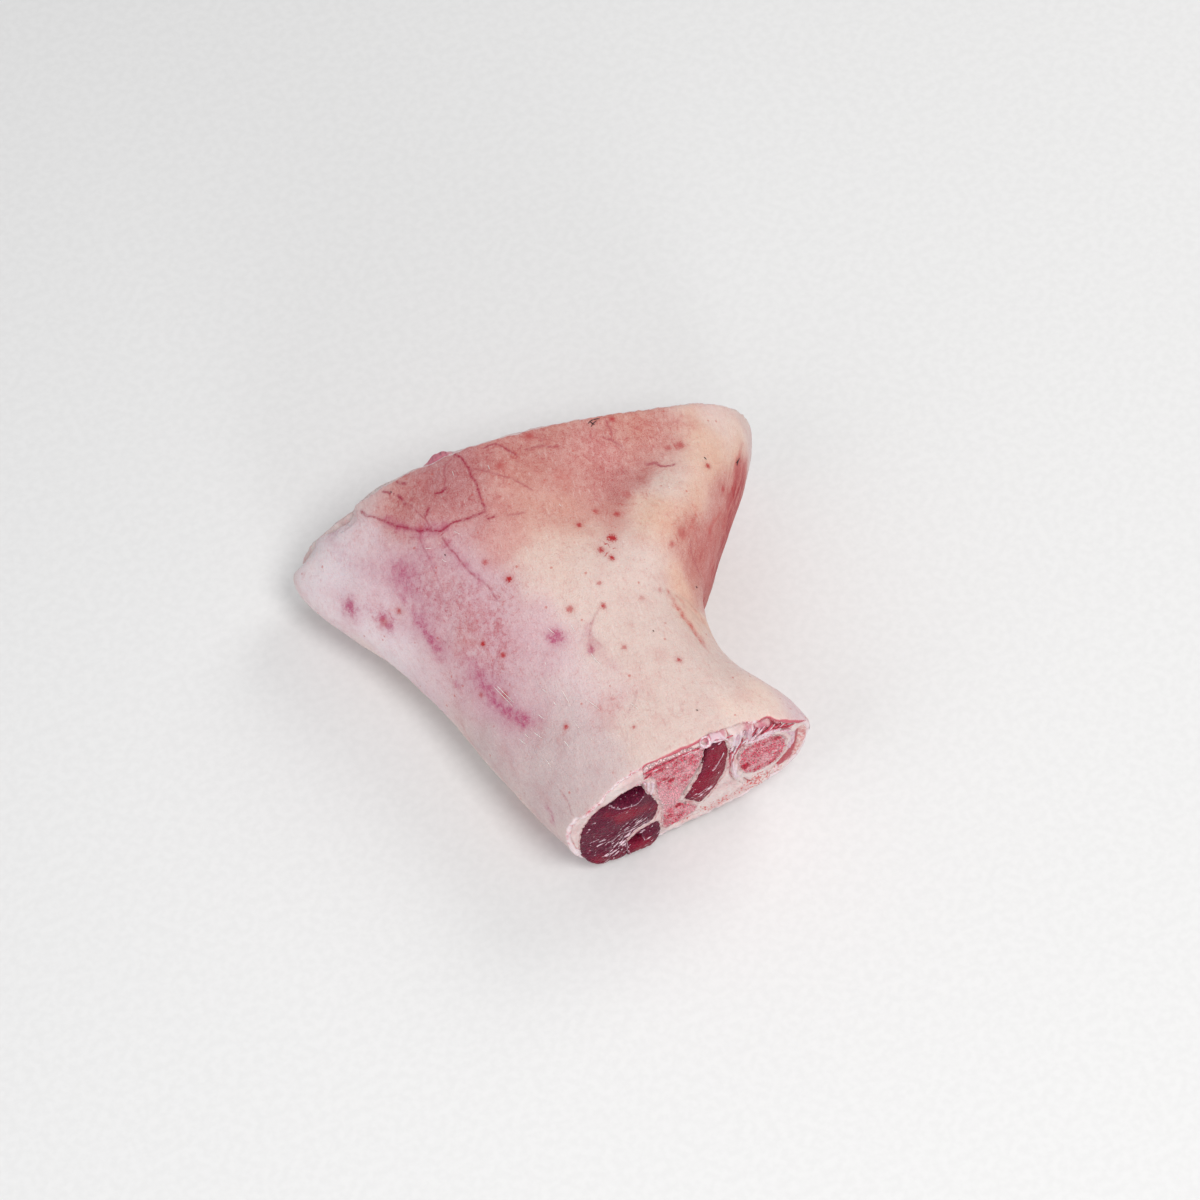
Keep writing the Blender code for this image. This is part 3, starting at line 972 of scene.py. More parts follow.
def paint_skin(piece, finder):
    places, facing = places_of(piece), normals_of(piece)
    hidden = Hidden(places, facing)
    paint_tint(piece, places, finder, hidden)
    uneven = warped(places, 3.2, 1.0, 70)
    small = [mark for mark in RUST_MARKS if mark.reach <= SPOT_REACH]
    soft = [mark for mark in RUST_MARKS if mark.reach > SPOT_REACH]
    plum = spots_at(uneven, finder, PLUM_MARKS) + streaks_at(uneven, finder, PLUM_STREAKS)
    rust = spots_at(uneven, finder, soft) + streaks_at(uneven, finder, RUST_STREAKS)
    covers = {
        "redness": spots_at(places, finder, REDNESS) + hidden.cover(*UNSEEN_REDNESS),
        "flush": spots_at(places, finder, FLUSH),
        "plum": plum + hidden.cover(*UNSEEN_PLUM),
        "rust": rust + hidden.cover(*UNSEEN_RUST),
    }
    paint(piece, **{name: np.minimum(cover, MOST_COVER) for name, cover in covers.items()})
    spots = [(finder.at(mark.x, mark.y)[0], mark) for mark in small]
    spots = [(place, mark.reach * SPOT_SHARE, mark.strength) for place, mark in spots if place]
    paint_nearest(piece, "spot", places, spots + hidden.spots_on(*UNSEEN_SPOTS))
    lines = [(finder.along(line.places, steps=40), line) for line in VESSELS]
    vessels = [(place, line.width * LINE_SHARE, line.strength) for path, line in lines for place in path]
    paint_nearest(piece, "vessel", warped(places, 2.6, 0.45, 80), vessels)
    cuts = [
        facing @ np.array(end.outward) * smoothstep(-3, -1.2, end.height_of(places)) for end in SAWN_ENDS
    ]
    paint(piece, cut=np.clip(np.maximum(*cuts), 0, 1), raw=rawness(places))


def rawness(places):
    """How raw and red the narrow end's upper rim is: most of all over the bones."""
    across, up = NARROW_END.flat(places).T
    over_large = smoothstep(24, 28, across) * smoothstep(54, 50, across)
    over_small = smoothstep(68, 74, across)
    raw = np.maximum(np.maximum(over_large, over_small), RAW_ELSEWHERE)
    return raw * smoothstep(44, 50, up) * smoothstep(-9, -3, NARROW_END.height_of(places))


def paint_nearest(piece, name, places, spots):
    """Each vertex's way to the nearest spot, with that spot's width and strength."""
    tree = tree_of([point for point, _, _ in spots])
    rows = []
    for place in places:
        nearest, index, gap = tree.find(place)
        rows.append((*((place - np.array(nearest)) / MM), min(gap / MM, FAR_FROM_INK), *spots[index][1:]))
    rows = np.array(rows)
    masks = {"_offset": rows[:, :3], "_gap": rows[:, 3], "_width": rows[:, 4], "_ink": rows[:, 5]}
    paint(piece, **{name + ending: values for ending, values in masks.items()})


def make_rind():
    piece, rims = shell_of_skin()
    smooth_skin(piece)
    relieve_skin(piece, Finder(piece))
    finder = Finder(piece)
    paint_skin(piece, finder)
    finish_piece(piece, skin_finish(), "rind", "rind_and_fat")
    return piece, finder, rims


# ---------------------------------------------------------------- the sawn ends

# Outlines are (across, up) in millimetres on the narrow end.
FRONT_MUSCLE = (
    (3.6, 37), (2.2, 30), (2.0, 23), (2.6, 16), (5.0, 10.0), (9, 5.8), (14, 4.4), (19.2, 3.8), (20.4, 8.5),
    (21, 13.6), (26, 17.2), (31, 19.2), (33.2, 24), (33.2, 30), (31.6, 36), (30.4, 40), (28.4, 43.4),
    (27.4, 49.6), (22, 51), (17, 49.6), (14.2, 46.8), (10.2, 45.6), (6.8, 42.4),
)
MUSCLE_RECESS = ((15.2, 46), (17, 50), (22, 51.5), (27.6, 50.2), (27.4, 43.6), (24, 41.4), (19.4, 42.4))
LOWER_MUSCLE = (
    (20.0, 3.6), (24, 3.2), (30, 3.4), (33.6, 8), (34, 13.6), (32.8, 17.6), (29, 17.2), (24.2, 14.8),
    (21.0, 11),
)
LOWER_HOLE = ((20.4, 12), (22.6, 14), (26, 13.6), (26.2, 10.2), (22.6, 9))
LARGE_BONE = (
    (27.4, 60), (33, 61.4), (40, 61.8), (46, 61), (50.4, 58.4), (50.2, 53), (48.6, 46), (45.6, 38),
    (42.4, 30), (41.2, 26), (44, 22.6), (47, 19), (48.6, 15), (46, 11.6), (40, 9.6), (35.4, 9.4),
    (34.2, 15), (34.4, 22), (33.6, 30), (32, 38), (31.4, 45), (30, 52), (26.8, 56),
)
MIDDLE_MUSCLE = (
    (51.6, 55), (52.6, 58.8), (55, 59.8), (58, 57.8), (59.6, 53), (60.2, 47), (60.2, 38), (58.2, 30),
    (55.2, 22.8), (51.4, 17.8), (48.8, 17.4), (47, 20), (43.8, 23.4), (42.8, 26), (45.8, 33), (48.8, 42),
    (50.6, 50),
)
SMALL_BONE = (
    (64, 36), (64.6, 42), (68, 46.2), (74, 47.2), (79.6, 45), (82.8, 39), (82.6, 31.6), (79.8, 26),
    (74, 23.4), (68, 25), (65, 29.6),
)
CARTILAGE = ((82.6, 43), (85.6, 42.4), (87, 38), (86, 33.4), (84, 29.8), (83.2, 33), (84.2, 38))
TENDON_ONE = ((60.6, 51), (60.4, 55.4), (61.4, 58.8), (63.6, 59.2), (65, 56.8), (64.6, 53), (62.8, 49.6))
TENDON_TWO = ((66.4, 51), (66, 55.4), (67, 58.4), (69.0, 58), (69.6, 54.6), (68.6, 50.2))
NARROW_OUTLINES = (FRONT_MUSCLE, LOWER_MUSCLE, LARGE_BONE, MIDDLE_MUSCLE, SMALL_BONE)
# A gap beside the middle muscle, sunk and painted dark as shade, red slits and white strands in the fat, and
# its pink and bloody places.
SHADED_BONE_GAP = many(
    Stroke, (((51.4, 57), (51, 53), (49.6, 48), (47, 41.4), (44.6, 35), (42.2, 28.6)), 0.8, 0.9),
)
FAT_SLITS = many(
    Stroke, (((65.2, 47.5), (65.6, 44), (64.8, 40.5), (64, 38)), 0.8),
    (((59.6, 64), (59.6, 61), (60, 56)), 0.4, 0.8),
    (((66, 58), (65, 52), (63, 46), (61.4, 38), (61.2, 30), (62.4, 25), (63.6, 22)), 0.5, 0.7),
    (((88.2, 40.5), (87.4, 33), (85, 27), (81.4, 21)), 1.9), (((86, 25), (84, 21.6)), 2.2, 0.9),
    (((71, 50), (69, 54), (70, 58)), 0.4, 0.6),
    (((76, 58.6), (77, 55), (78, 51.5), (80.6, 49), (83, 47.4)), 0.9, 0.9),
    (((74, 53.6), (75.6, 51.6)), 0.5, 0.6), (((67, 21), (68.6, 17.6), (71, 15.4), (73.4, 15)), 0.5, 0.7),
    (((76, 18), (78, 14.6), (80, 12.6)), 0.5, 0.5),
    (((38, 8.6), (42, 8.4), (46, 8.8), (50, 8.4)), 0.45, 0.6), (((56, 9), (62, 9.4), (68, 10.6)), 0.4, 0.4),
    (((28, 59.4), (30, 56.4), (31, 53)), 0.8, 0.8), (((62, 22), (64.6, 20.4), (66, 18)), 0.4, 0.6),
)
FAT_STRANDS = many(
    Stroke, (((61, 48), (61.6, 54), (62, 59)), 0.7), (((63.6, 49), (64, 55), (64.4, 59)), 0.6),
    (((66.6, 49), (67.6, 54), (69, 58)), 0.6), (((68.4, 48.6), (70.6, 51.6), (71.6, 56)), 0.5),
    (((71, 47.6), (73, 49.4), (76.6, 50.6)), 0.7), (((74, 48.4), (77.6, 49.4), (80.4, 48)), 0.6),
    (((61.4, 45), (61.8, 38), (62.2, 30), (63.4, 25.6)), 0.5),
    (((63.2, 36), (62.8, 30), (64.6, 25.6)), 0.6), (((84, 22), (86.8, 27), (88.6, 33)), 0.5),
    (((52.8, 60.4), (54.6, 61.4), (57, 60.6)), 0.6), (((57, 60.8), (59.2, 58), (60.4, 54)), 0.5),
    (((30.8, 49), (30.2, 44), (29.6, 41)), 0.5), (((28.8, 50), (28.6, 45), (28.2, 41.4)), 0.5),
    (((79, 19), (82, 20.6), (84, 23)), 0.6),
)
FAT_PINK = many(
    Dab, (55, 61, 3.4), (72, 55, 4), (78, 52, 3.4, 0.9), (60.8, 36, 1.6, 0.9), (66.4, 46, 2.4, 0.6),
    (62, 44, 2.0, 0.9), (31.4, 56, 2.4, 0.9), (70, 51, 2.6, 0.6), (61.8, 30, 1.6, 0.7), (64, 56, 2.4, 0.4),
    (86, 22, 3, 0.6), (83, 46, 2.6, 0.7), (52, 62, 2.4, 0.6), (67, 58, 2.6, 0.6), (59, 62, 2, 0.5),
    (32, 62, 2.4, 0.7), (37, 63.6, 2.4, 0.7), (42, 64.4, 2.4, 0.7), (47, 64, 2.4, 0.6),
)
FAT_BLOOD = many(
    Dab, (78, 54, 3, 1.0), (82, 48, 2.8, 0.9), (29.6, 57, 2.4, 0.9), (68, 14, 5, 0.95), (75, 15, 5, 0.95),
    (80, 19, 4, 0.95), (72, 20, 3.4, 0.7), (44, 9, 3.6, 0.9), (62, 22, 3, 0.8), (86, 24, 4, 0.8),
    (53, 9, 4, 0.8), (37, 9, 3, 0.8), (84, 44, 3, 0.7), (60, 11, 4.6, 0.9), (64, 30, 2.6, 0.6),
    (56, 17, 5, 0.4), (50, 13, 4, 0.5),
)
# White strings on the muscles, where the meat is flecked with fat and with painted wet glints, ruddy or deep
# in painted shade.
MEAT_STRINGS = many(
    Stroke,
    (((13.8, 44.4), (15.6, 42.6), (18, 41.2), (20.4, 40.8), (22.6, 40.0), (25, 40.2), (27, 42)), 0.5, 0.85),
    (((17, 39.4), (20, 38.6), (22, 39.6), (24.6, 38.6)), 0.5, 0.6),
    (((18.6, 12.6), (20, 14), (19.4, 11)), 0.5, 0.8), (((14, 5.6), (17.6, 9.6)), 0.4, 0.6),
    (((29.6, 38), (31, 35)), 0.4, 0.6), (((20.6, 8.4), (21.0, 13), (24, 15.4), (27.4, 15.4)), 0.5, 0.9),
    (((26.4, 13.6), (27.0, 10)), 0.5, 0.7), (((20.2, 8), (21, 5)), 0.6, 0.8),
    (((57.6, 49), (56, 46), (54.8, 43.4), (53.4, 40.6)), 0.6, 0.9),
    (((12, 22), (15, 23.6), (19, 25), (23, 27)), 0.5, 0.5), (((9, 14), (13, 17), (18, 19.6)), 0.5, 0.5),
    (((22, 20), (26, 22.4), (29, 24.6)), 0.5, 0.5), (((48, 27), (50, 28.6), (51.6, 31)), 0.5, 0.5),
)
MEAT_FLECKED = many(
    Dab, (19, 18, 7), (24, 24, 6, 0.9), (15, 12, 4.5, 0.8), (9, 22, 4, 0.6), (28, 20, 3, 0.7),
    (6, 30, 4, 0.4), (50, 31, 4, 0.7), (47, 27, 3, 0.7), (53, 27, 2.5, 0.7), (50, 22, 3, 0.4),
    (29, 8, 4, 0.4),
)
MEAT_RUDDY = many(
    Dab, (19, 35, 5, 0.9), (27, 33, 4, 0.6), (57, 52, 7), (58, 41, 7), (55, 30, 7), (27, 5, 5, 0.9),
    (9, 9, 5, 0.6), (16, 6, 4, 0.5), (32, 28, 3, 0.6), (12, 40, 3, 0.4), (50, 32, 6, 0.7), (24, 12, 6, 0.4),
    (8, 28, 4, 0.3), (50, 22, 5, 0.6),
)
MEAT_SHADE = many(
    Dab, (11.6, 45, 1.4), (15, 44.6, 1.4, 0.9), (46.4, 38, 1.8, 0.5), (44, 32, 1.6, 0.5),
    (50.4, 50, 1.2, 0.4),
)
# Crimson and pale places of the sawn bones.
BONE_CRIMSON = many(
    Dab, (38, 44.6, 1.7), (35.6, 47.4, 1.6, 0.8), (40.6, 23, 1.6), (37, 18, 2, 0.6), (44, 42, 1.5, 0.5),
    (42, 50, 2.2, 0.5), (46, 54, 2.4, 0.4), (33, 55, 3, 0.5), (79.4, 43, 3, 0.9), (66.6, 31, 3, 0.8),
    (78, 25.4, 2.6, 0.8), (74, 34, 2.2, 0.4), (70, 39, 2.2, 0.35), (38, 56, 5, 0.35), (42, 13, 2.4, 0.4),
)
BONE_PALE = many(
    Dab, (33, 38, 4), (36, 28, 5), (39, 33, 4, 0.7), (44, 47, 3, 0.5), (72, 30, 3, 0.4), (48, 58, 3, 0.5),
)
# How far the rind's upper edge is torn back, by the place across each end; less than 0 hangs over.
TORN_EDGE = (
    (0, -1.0), (5, -2.3), (10, -2.0), (15, -0.5), (20, 0), (28, 0.6), (36, 0.2), (44, 0.3), (50, 1.0),
    (54, 2.2), (60, 1.5), (66, 1.6), (70, 0.4), (76, 1.6), (79, -1.0), (83, -1.8), (88, -1.4), (93, -0.4),
)
WIDE_TORN_EDGE = (
    (-92, 0), (-86, 3.2), (-82, 3.4), (-80, 2.8), (-78, 0.6), (-76, 0.2), (-72, 2.8), (-67, 4.2),
    (-64.4, 3.0), (-62.6, -0.6), (-50, -1.0), (-38, -0.8), (-35, 0), (-10, 0.2), (92, 0),
)

# Outlines are (across, up) in millimetres on the wide end.
WIDE_MUSCLES = (
    (
        (-73, 25), (-69, 35), (-59, 42), (-49, 49), (-40, 53), (-37, 45), (-38, 35), (-41, 25), (-47, 15),
        (-57, 10), (-67, 14),
    ),
    ((-38, 55), (-29, 60), (-15, 61), (-2, 60), (-3, 54), (-13, 51.5), (-25, 51), (-35, 48)),
    ((1, 60), (14, 59), (30, 55), (34.5, 48), (29, 40), (17, 38.4), (6, 42), (1.6, 50)),
    ((37, 54), (50, 50), (60, 41), (63, 29), (55, 18), (45, 13), (38.4, 21), (36, 34), (37, 46)),
    (
        (-36, 13.6), (-25, 8.4), (-9, 7.4), (6, 8.6), (9.6, 14), (3, 16.4), (-3, 14.6), (-14, 13),
        (-28, 14.6),
    ),
    ((12.6, 15), (22, 15.8), (33, 19.4), (37.6, 12), (30, 8.4), (19, 7.6), (12, 10)),
)
WIDE_LARGE_BONE = (
    (-33.6, 32), (-31.6, 41), (-25, 47.4), (-15, 49), (-5, 46.6), (1, 39), (2, 29.6), (-2, 21), (-10, 16),
    (-20, 15.8), (-29.6, 21),
)
WIDE_SMALL_BONE = ((15.6, 27), (18, 33), (24, 35.6), (30, 34), (33, 28), (31, 21.6), (25, 18.6), (19, 20.6))


def rounding(inside, radius):
    """How much lower a rounded edge is than its face, by the distance inside its outline."""
    short = np.clip(1 - inside / radius, 0, 1)
    return radius * (1 - np.sqrt(1 - short * short))


def strokes_at(flat, strokes):
    """How strongly each place on a cut is covered by strokes, which fall away softly at each side."""
    cover = np.zeros(len(flat))
    for stroke in strokes:
        gap, _ = nearest_on(flat, curve_through(stroke.places))
        cover = np.maximum(cover, stroke.strength * fade(gap, stroke.width))
    return cover


def dabs_at(flat, dabs):
    gaps = [np.hypot(flat[:, 0] - dab.x, flat[:, 1] - dab.y) for dab in dabs]
    return np.minimum(sum(dab.strength * fade(gap, dab.reach) for dab, gap in zip(dabs, gaps)), 1)


def edge_of(outline, steps=10, ragged=RAGGED):
    """The smooth outline through its points, with small ragged teeth."""
    curve = curve_through(outline, closed=True, steps=steps)
    teeth = np.stack([ripple(curve, TEETH_SIZE, seed, 3) for seed in (91, 92)], -1)
    return curve + teeth * ragged


def sunk(flat, outline, edge, start=0.0):
    """1 well inside an outline and 0 outside it, over the width of its edge."""
    return smoothstep(start, start + edge, depth_inside(flat, edge_of(outline)))


def plug(name, end, outline, mesh, relief, depth=PLUG_DEPTH):
    """A closed body of an outline on a sawn end. Its face is a fine grid that follows a relief.

    The relief gives heights out of the cut, in millimetres, from places and their depth inside the outline.
    """
    low, high = outline.min(0), outline.max(0)
    counts = [int(count) for count in np.ceil((high - low) / mesh)]
    bpy.ops.object.select_all(action="DESELECT")
    bpy.ops.mesh.primitive_grid_add(x_subdivisions=counts[0], y_subdivisions=counts[1], size=1)
    piece = bpy.context.active_object
    piece.name = name
    piece.scale = (*((high - low) * MM), 1)
    piece.location = (*((low + high) / 2 * MM), 0)
    bpy.ops.object.transform_apply(location=True, rotation=False, scale=True)
    choose(piece, "VERT", depth_inside(places_of(piece)[:, :2] / MM, outline) < mesh * GRID_MARGIN)
    bpy.ops.mesh.delete(type="VERT")
    bpy.ops.mesh.select_all(action="SELECT")
    bpy.ops.mesh.delete_loose()
    object_mode()
    part_corners(piece)
    spread_to_outline(piece, outline)
    places = places_of(piece)
    flat = places[:, :2] / MM
    places[:, 2] = relief(flat, np.maximum(depth_inside(flat, outline), 0)) * MM
    move_to(piece, places)
    close_behind(piece, end, depth)
    piece.matrix_world = end.matrix
    bpy.ops.object.transform_apply(location=True, rotation=True, scale=True)
    edit_whole(piece)
    bpy.ops.mesh.normals_make_consistent(inside=False)
    object_mode()
    return piece


def part_corners(piece):
    """Deletes the vertices at which two parts of the open edge touch, until there are none."""
    while True:
        owners = Counter(key for face in piece.data.polygons for key in face.edge_keys)
        ends = Counter(vertex for key, count in owners.items() if count == 1 for vertex in key)
        shared = [ends[i] > 2 for i in range(len(piece.data.vertices))]
        if not any(shared):
            return
        choose(piece, "VERT", shared)
        bpy.ops.mesh.delete(type="VERT")
        object_mode()


def extrude_open_edge(piece):
    """Extrudes the open edge where it lies, and tells which vertices are new."""
    edit_mode()
    bpy.ops.mesh.select_mode(type="EDGE")
    bpy.ops.mesh.select_all(action="DESELECT")
    bpy.ops.mesh.select_non_manifold(
        extend=False, use_wire=False, use_multi_face=False, use_non_contiguous=False, use_verts=False
    )
    bpy.ops.mesh.extrude_edges_move()
    object_mode()
    moved = np.zeros(len(piece.data.vertices), bool)
    piece.data.vertices.foreach_get("select", moved)
    return moved


def spread_to_outline(piece, outline):
    """Draws the grid's stepped edge out to the smooth outline."""
    select_only(piece)
    moved = extrude_open_edge(piece)
    places = places_of(piece)
    places[moved, :2] = nearest_on(places[moved, :2] / MM, outline, closed=True)[1] * MM
    move_to(piece, places)


def close_behind(piece, end, depth):
    """Gives a face its sides, which draw in towards the end's middle, and a flat back."""
    moved = extrude_open_edge(piece)
    places = places_of(piece)
    middle = end.middle * MM
    share = 1 - (1 - end.taper) * depth / NEST_DEPTH
    places[moved, :2] = middle + (places[moved, :2] - middle) * share
    places[moved, 2] = -depth * MM
    move_to(piece, places)
    edit_mode()
    bpy.ops.mesh.edge_face_add()
    object_mode()


def through_core(node, name):
    """What runs through the hock behind the sawn ends, cut short of them."""
    piece = copy_of(node, name)
    for end in SAWN_ENDS:
        edit_whole(piece)
        place = end.origin - end.outward * (PLUG_DEPTH - CORE_OVERLAP) * MM
        bpy.ops.mesh.bisect(plane_co=place, plane_no=end.outward, use_fill=True, clear_outer=True)
        object_mode()
    return piece


def hang(flat, low, high, reach):
    """How far the lower edge of a muscle hangs out over the rim, by its height up the cut."""
    return reach * smoothstep(high, low, flat[:, 1])


def swollen(flat, inside, base, rise, seed, *bumps):
    """Heights that rise inwards from the base, with bumps. A rise, or a bump, is its height and its size."""
    high, reach = rise
    rough = sum(height * ripple(flat, size, seed + k) for k, (height, size) in enumerate(bumps))
    return base + high * smoothstep(0, reach, inside) + rough


def front_muscle_relief(flat, inside):
    height = swollen(flat, inside, 0.3, (1.5, 9), 31, (0.35, 6), (0.16, 1.3))
    height += hang(flat, 4, 20, 2.0) - rounding(inside, 1.2)
    height -= RECESS_DEPTH * sunk(flat, MUSCLE_RECESS, 1.1) * (1 + 0.25 * ripple(flat, 3, 33))
    return height + 0.5 * strokes_at(flat, MEAT_STRINGS) - 1.2 * dabs_at(flat, MEAT_SHADE)


def lower_muscle_relief(flat, inside):
    height = swollen(flat, inside, 0.4, (1.0, 5), 34, (0.3, 4), (0.16, 1.2))
    height += hang(flat, 3, 16, 1.6) - rounding(inside, 1.2) - HOLE_DEPTH * sunk(flat, LOWER_HOLE, 1.2)
    return height + 0.5 * strokes_at(flat, MEAT_STRINGS)


def middle_muscle_relief(flat, inside):
    height = swollen(flat, inside, 0.2, (1.5, 6), 36, (0.3, 5), (0.14, 1.3)) - rounding(inside, 1.4)
    return height + 0.4 * strokes_at(flat, MEAT_STRINGS) - 0.8 * dabs_at(flat, MEAT_SHADE)


def sawn_bone_relief(flat, inside):
    return swollen(flat, inside, 0.6, LEVEL, 38, (0.25, 4), (0.3, 0.9)) - rounding(inside, 0.5)


def sinew_relief(flat, inside):
    return swollen(flat, inside, 0.6, (1.0, 2), 40, (0.25, 2)) - rounding(inside, 1.0)


def narrow_fat_relief(flat, inside):
    height = swollen(flat, inside, 0.4, LEVEL, 41, (0.5, 9), (0.3, 2.6), (0.12, 1)) - rounding(inside, 1.4)
    height += 0.9 * strokes_at(flat, FAT_STRANDS) - 1.4 * strokes_at(flat, FAT_SLITS)
    for outline in NARROW_OUTLINES:
        height -= (height + FAT_DROP) * sunk(flat, outline, 1.4, FAT_LAP)
    return height - GAP_DEPTH * strokes_at(flat, SHADED_BONE_GAP)


def wide_muscle_relief(flat, inside):
    return swollen(flat, inside, 0.2, (1.8, 12), 44, (0.5, 8), (0.15, 1.8)) - rounding(inside, 1.6)


def wide_fat_relief(flat, inside):
    """The fat stands out past the rind along its front edge, with a loose flap of membrane."""
    across, up = flat.T
    height = swollen(flat, inside, 0.8, LEVEL, 46, (0.7, 12), (0.3, 3.2)) - rounding(inside, 1.6)
    proud = smoothstep(-64, -60, across) * smoothstep(-36, -40, across) * smoothstep(40, 46, up)
    flap = fade(across - FLAP_PLACE, 6) * smoothstep(54, 60, up) * (1 + 0.3 * ripple(flat, 3, 57))
    height += (1.6 * proud + 2.8 * flap) * smoothstep(0, 0.4, inside) * smoothstep(5, 2.5, inside)
    for outline in (*WIDE_MUSCLES, WIDE_LARGE_BONE, WIDE_SMALL_BONE):
        height -= (height + WIDE_FAT_DROP) * sunk(flat, outline, 2.0, FAT_LAP)
    return height


def muscle_finish():
    """Wet dark meat cut across its grain: bundles, pale marbling that also serves as painted wet glints, and
    thin seams.
    """
    finish = Finish("cut_meat")
    band, painted = finish.band, finish.painted
    cloud = finish.noise(8, 3, 0.55)
    grain = finish.noise(0.7, 4, 0.65)
    fleck = finish.noise(0.85, 3, 0.55, where=finish.coordinates(stretch=(4.2, 1, 1), turn=(0, 0.45, 0)))
    bundle = finish.cells(1.5, "DISTANCE_TO_EDGE")
    ruddy = band(painted("ruddy") + (cloud - 0.5) * 0.8, 0.15, 0.85)
    marbling_and_glints = band(fleck + painted("flecked") * 0.16, 0.685, 0.71)
    string = band(painted("seam") + (grain - 0.5) * 1.9, 0.55, 0.95)
    colour = finish.laid_over(
        tone(92, 8, 44),
        (ruddy, tone(136, 10, 44)),
        (band(grain, 0.5, 0.72) * 0.5, tone(190, 60, 92)),
        (band(grain, 0.47, 0.25) * 0.6, tone(52, 4, 24)),
        (band(bundle, 0.05, 0.0) * 0.1, tone(196, 106, 128)),
        # Pale flecks of fat, which also stand in as painted wet glints.
        (marbling_and_glints * 0.95, tone(250, 216, 228)),
        (string * 0.85, tone(240, 206, 222)),
        (painted("shade") * 0.8, tone(50, 8, 28)),
    )
    height = band(bundle, 0.0, 0.25) * 0.4 + grain * 0.9 + marbling_and_glints * 0.9
    roughness = band(grain, 0.3, 0.7) * 0.2 + 0.26
    return finish.flesh(
        colour, roughness, height, 0.5, Subsurface_Weight=0.04, Specular_IOR_Level=0.14, Coat_Weight=0.04,
        Coat_Roughness=0.08,
    )


def bone_finish():
    """Sawn spongy bone: red marrow in a pale mesh, with a whiter shell."""
    finish = Finish("sawn_bone")
    band, painted = finish.band, finish.painted
    cloud = finish.noise(5, 3, 0.6)
    grain = finish.noise(0.6, 3, 0.6)
    flake = finish.noise(0.8, 3, 0.6, where=finish.coordinates(stretch=(1, 1, 2.5), turn=(0, 0.6, 0)))
    mesh = finish.cells(1.05, "DISTANCE_TO_EDGE")
    uneven, pale = grain - 0.5, painted("pale")
    hollow = band(finish.cells(1.0) + uneven * 0.3, 0.36, 0.14) * band(cloud - pale * 0.15, 0.34, 0.54)
    crimson = band(painted("crimson") + band(cloud, 0.5, 0.7) * 0.3 + uneven * 0.9, 0.25, 0.85)
    colour = finish.laid_over(
        tone(250, 168, 180),
        (band(cloud + uneven * 0.3 - pale * 0.25, 0.36, 0.62), tone(230, 66, 98)),
        (band(mesh + uneven * 0.5, 0.12, 0.0) * 0.7, tone(255, 228, 226)),
        (hollow * 0.9, tone(190, 20, 58)),
        (band(flake, 0.58, 0.68) * 0.7, tone(255, 226, 228)),
        (crimson * 0.9, tone(196, 16, 54)),
        (band(painted("ring") + uneven * 0.9, 1.1, 0.2) * 0.8, tone(246, 220, 220)),
    )
    height = band(mesh, 0.14, 0.0) + grain * 0.6 - hollow * 0.8 - crimson * 0.4
    return finish.flesh(
        colour, 0.42, height, 0.5, Subsurface_Weight=0.05, Specular_IOR_Level=0.15, Coat_Weight=0.05,
        Coat_Roughness=0.25,
    )


def fat_finish():
    """Soft white fat with pink membranes, red specks and dark red lines."""
    finish = Finish("cut_fat")
    band, painted = finish.band, finish.painted
    cloud = finish.noise(7, 3, 0.55)
    grain = finish.noise(1.3, 4, 0.6)
    fine = finish.noise(0.6, 3, 0.6)
    speck = finish.noise(0.9, 3, 0.55)
    lobes = finish.cells(3.2, "SMOOTH_F1")
    ragged = (grain - 0.5) * 0.6 + (fine - 0.5) * 0.5
    skin = finish.mix(band(grain, 0.4, 0.65), tone(228, 198, 194), tone(206, 124, 124))
    colour = finish.laid_over(
        tone(226, 209, 206),
        (band(cloud, 0.35, 0.7), tone(216, 184, 183)),
        (band(grain, 0.52, 0.75) * 0.35, tone(226, 172, 182)),
        (band(speck + (painted("blood") - 1) * 0.32, 0.46, 0.60) * 0.9, tone(204, 70, 70)),
        (band(painted("membrane") + ragged, 0.3, 0.9) * 0.8, tone(196, 92, 118)),
        (band(painted("strand") + ragged, 0.3, 0.8) * 0.8, tone(230, 208, 217)),
        (band(painted("line") + ragged, 0.35, 0.85) * 0.85, tone(176, 46, 64)),
        # Painted shade in the gap between the large bone and the middle muscle.
        (painted("dark") * 0.9, tone(60, 12, 26)),
        (band(painted("rindband") + ragged * 0.5, 0.3, 0.8), skin),
    )
    height = grain * 0.8 + band(lobes, 0.2, 0.7) * 0.5 + fine * 0.3
    return finish.flesh(
        colour, 0.36, height, 0.4, Subsurface_Weight=0.1, Specular_IOR_Level=0.25, Coat_Weight=0.08,
        Coat_Roughness=0.2,
    )


def sinew_finish():
    finish = Finish("wet_sinew")
    strand = finish.noise(0.7, 3, 0.6, where=finish.coordinates(stretch=(1, 1, 4)))
    colour = finish.mix(finish.band(strand, 0.35, 0.7), tone(216, 190, 199), tone(196, 146, 162))
    return finish.flesh(
        colour, 0.28, strand, 0.25, Subsurface_Weight=0.2, Coat_Weight=0.4, Coat_Roughness=0.12
    )


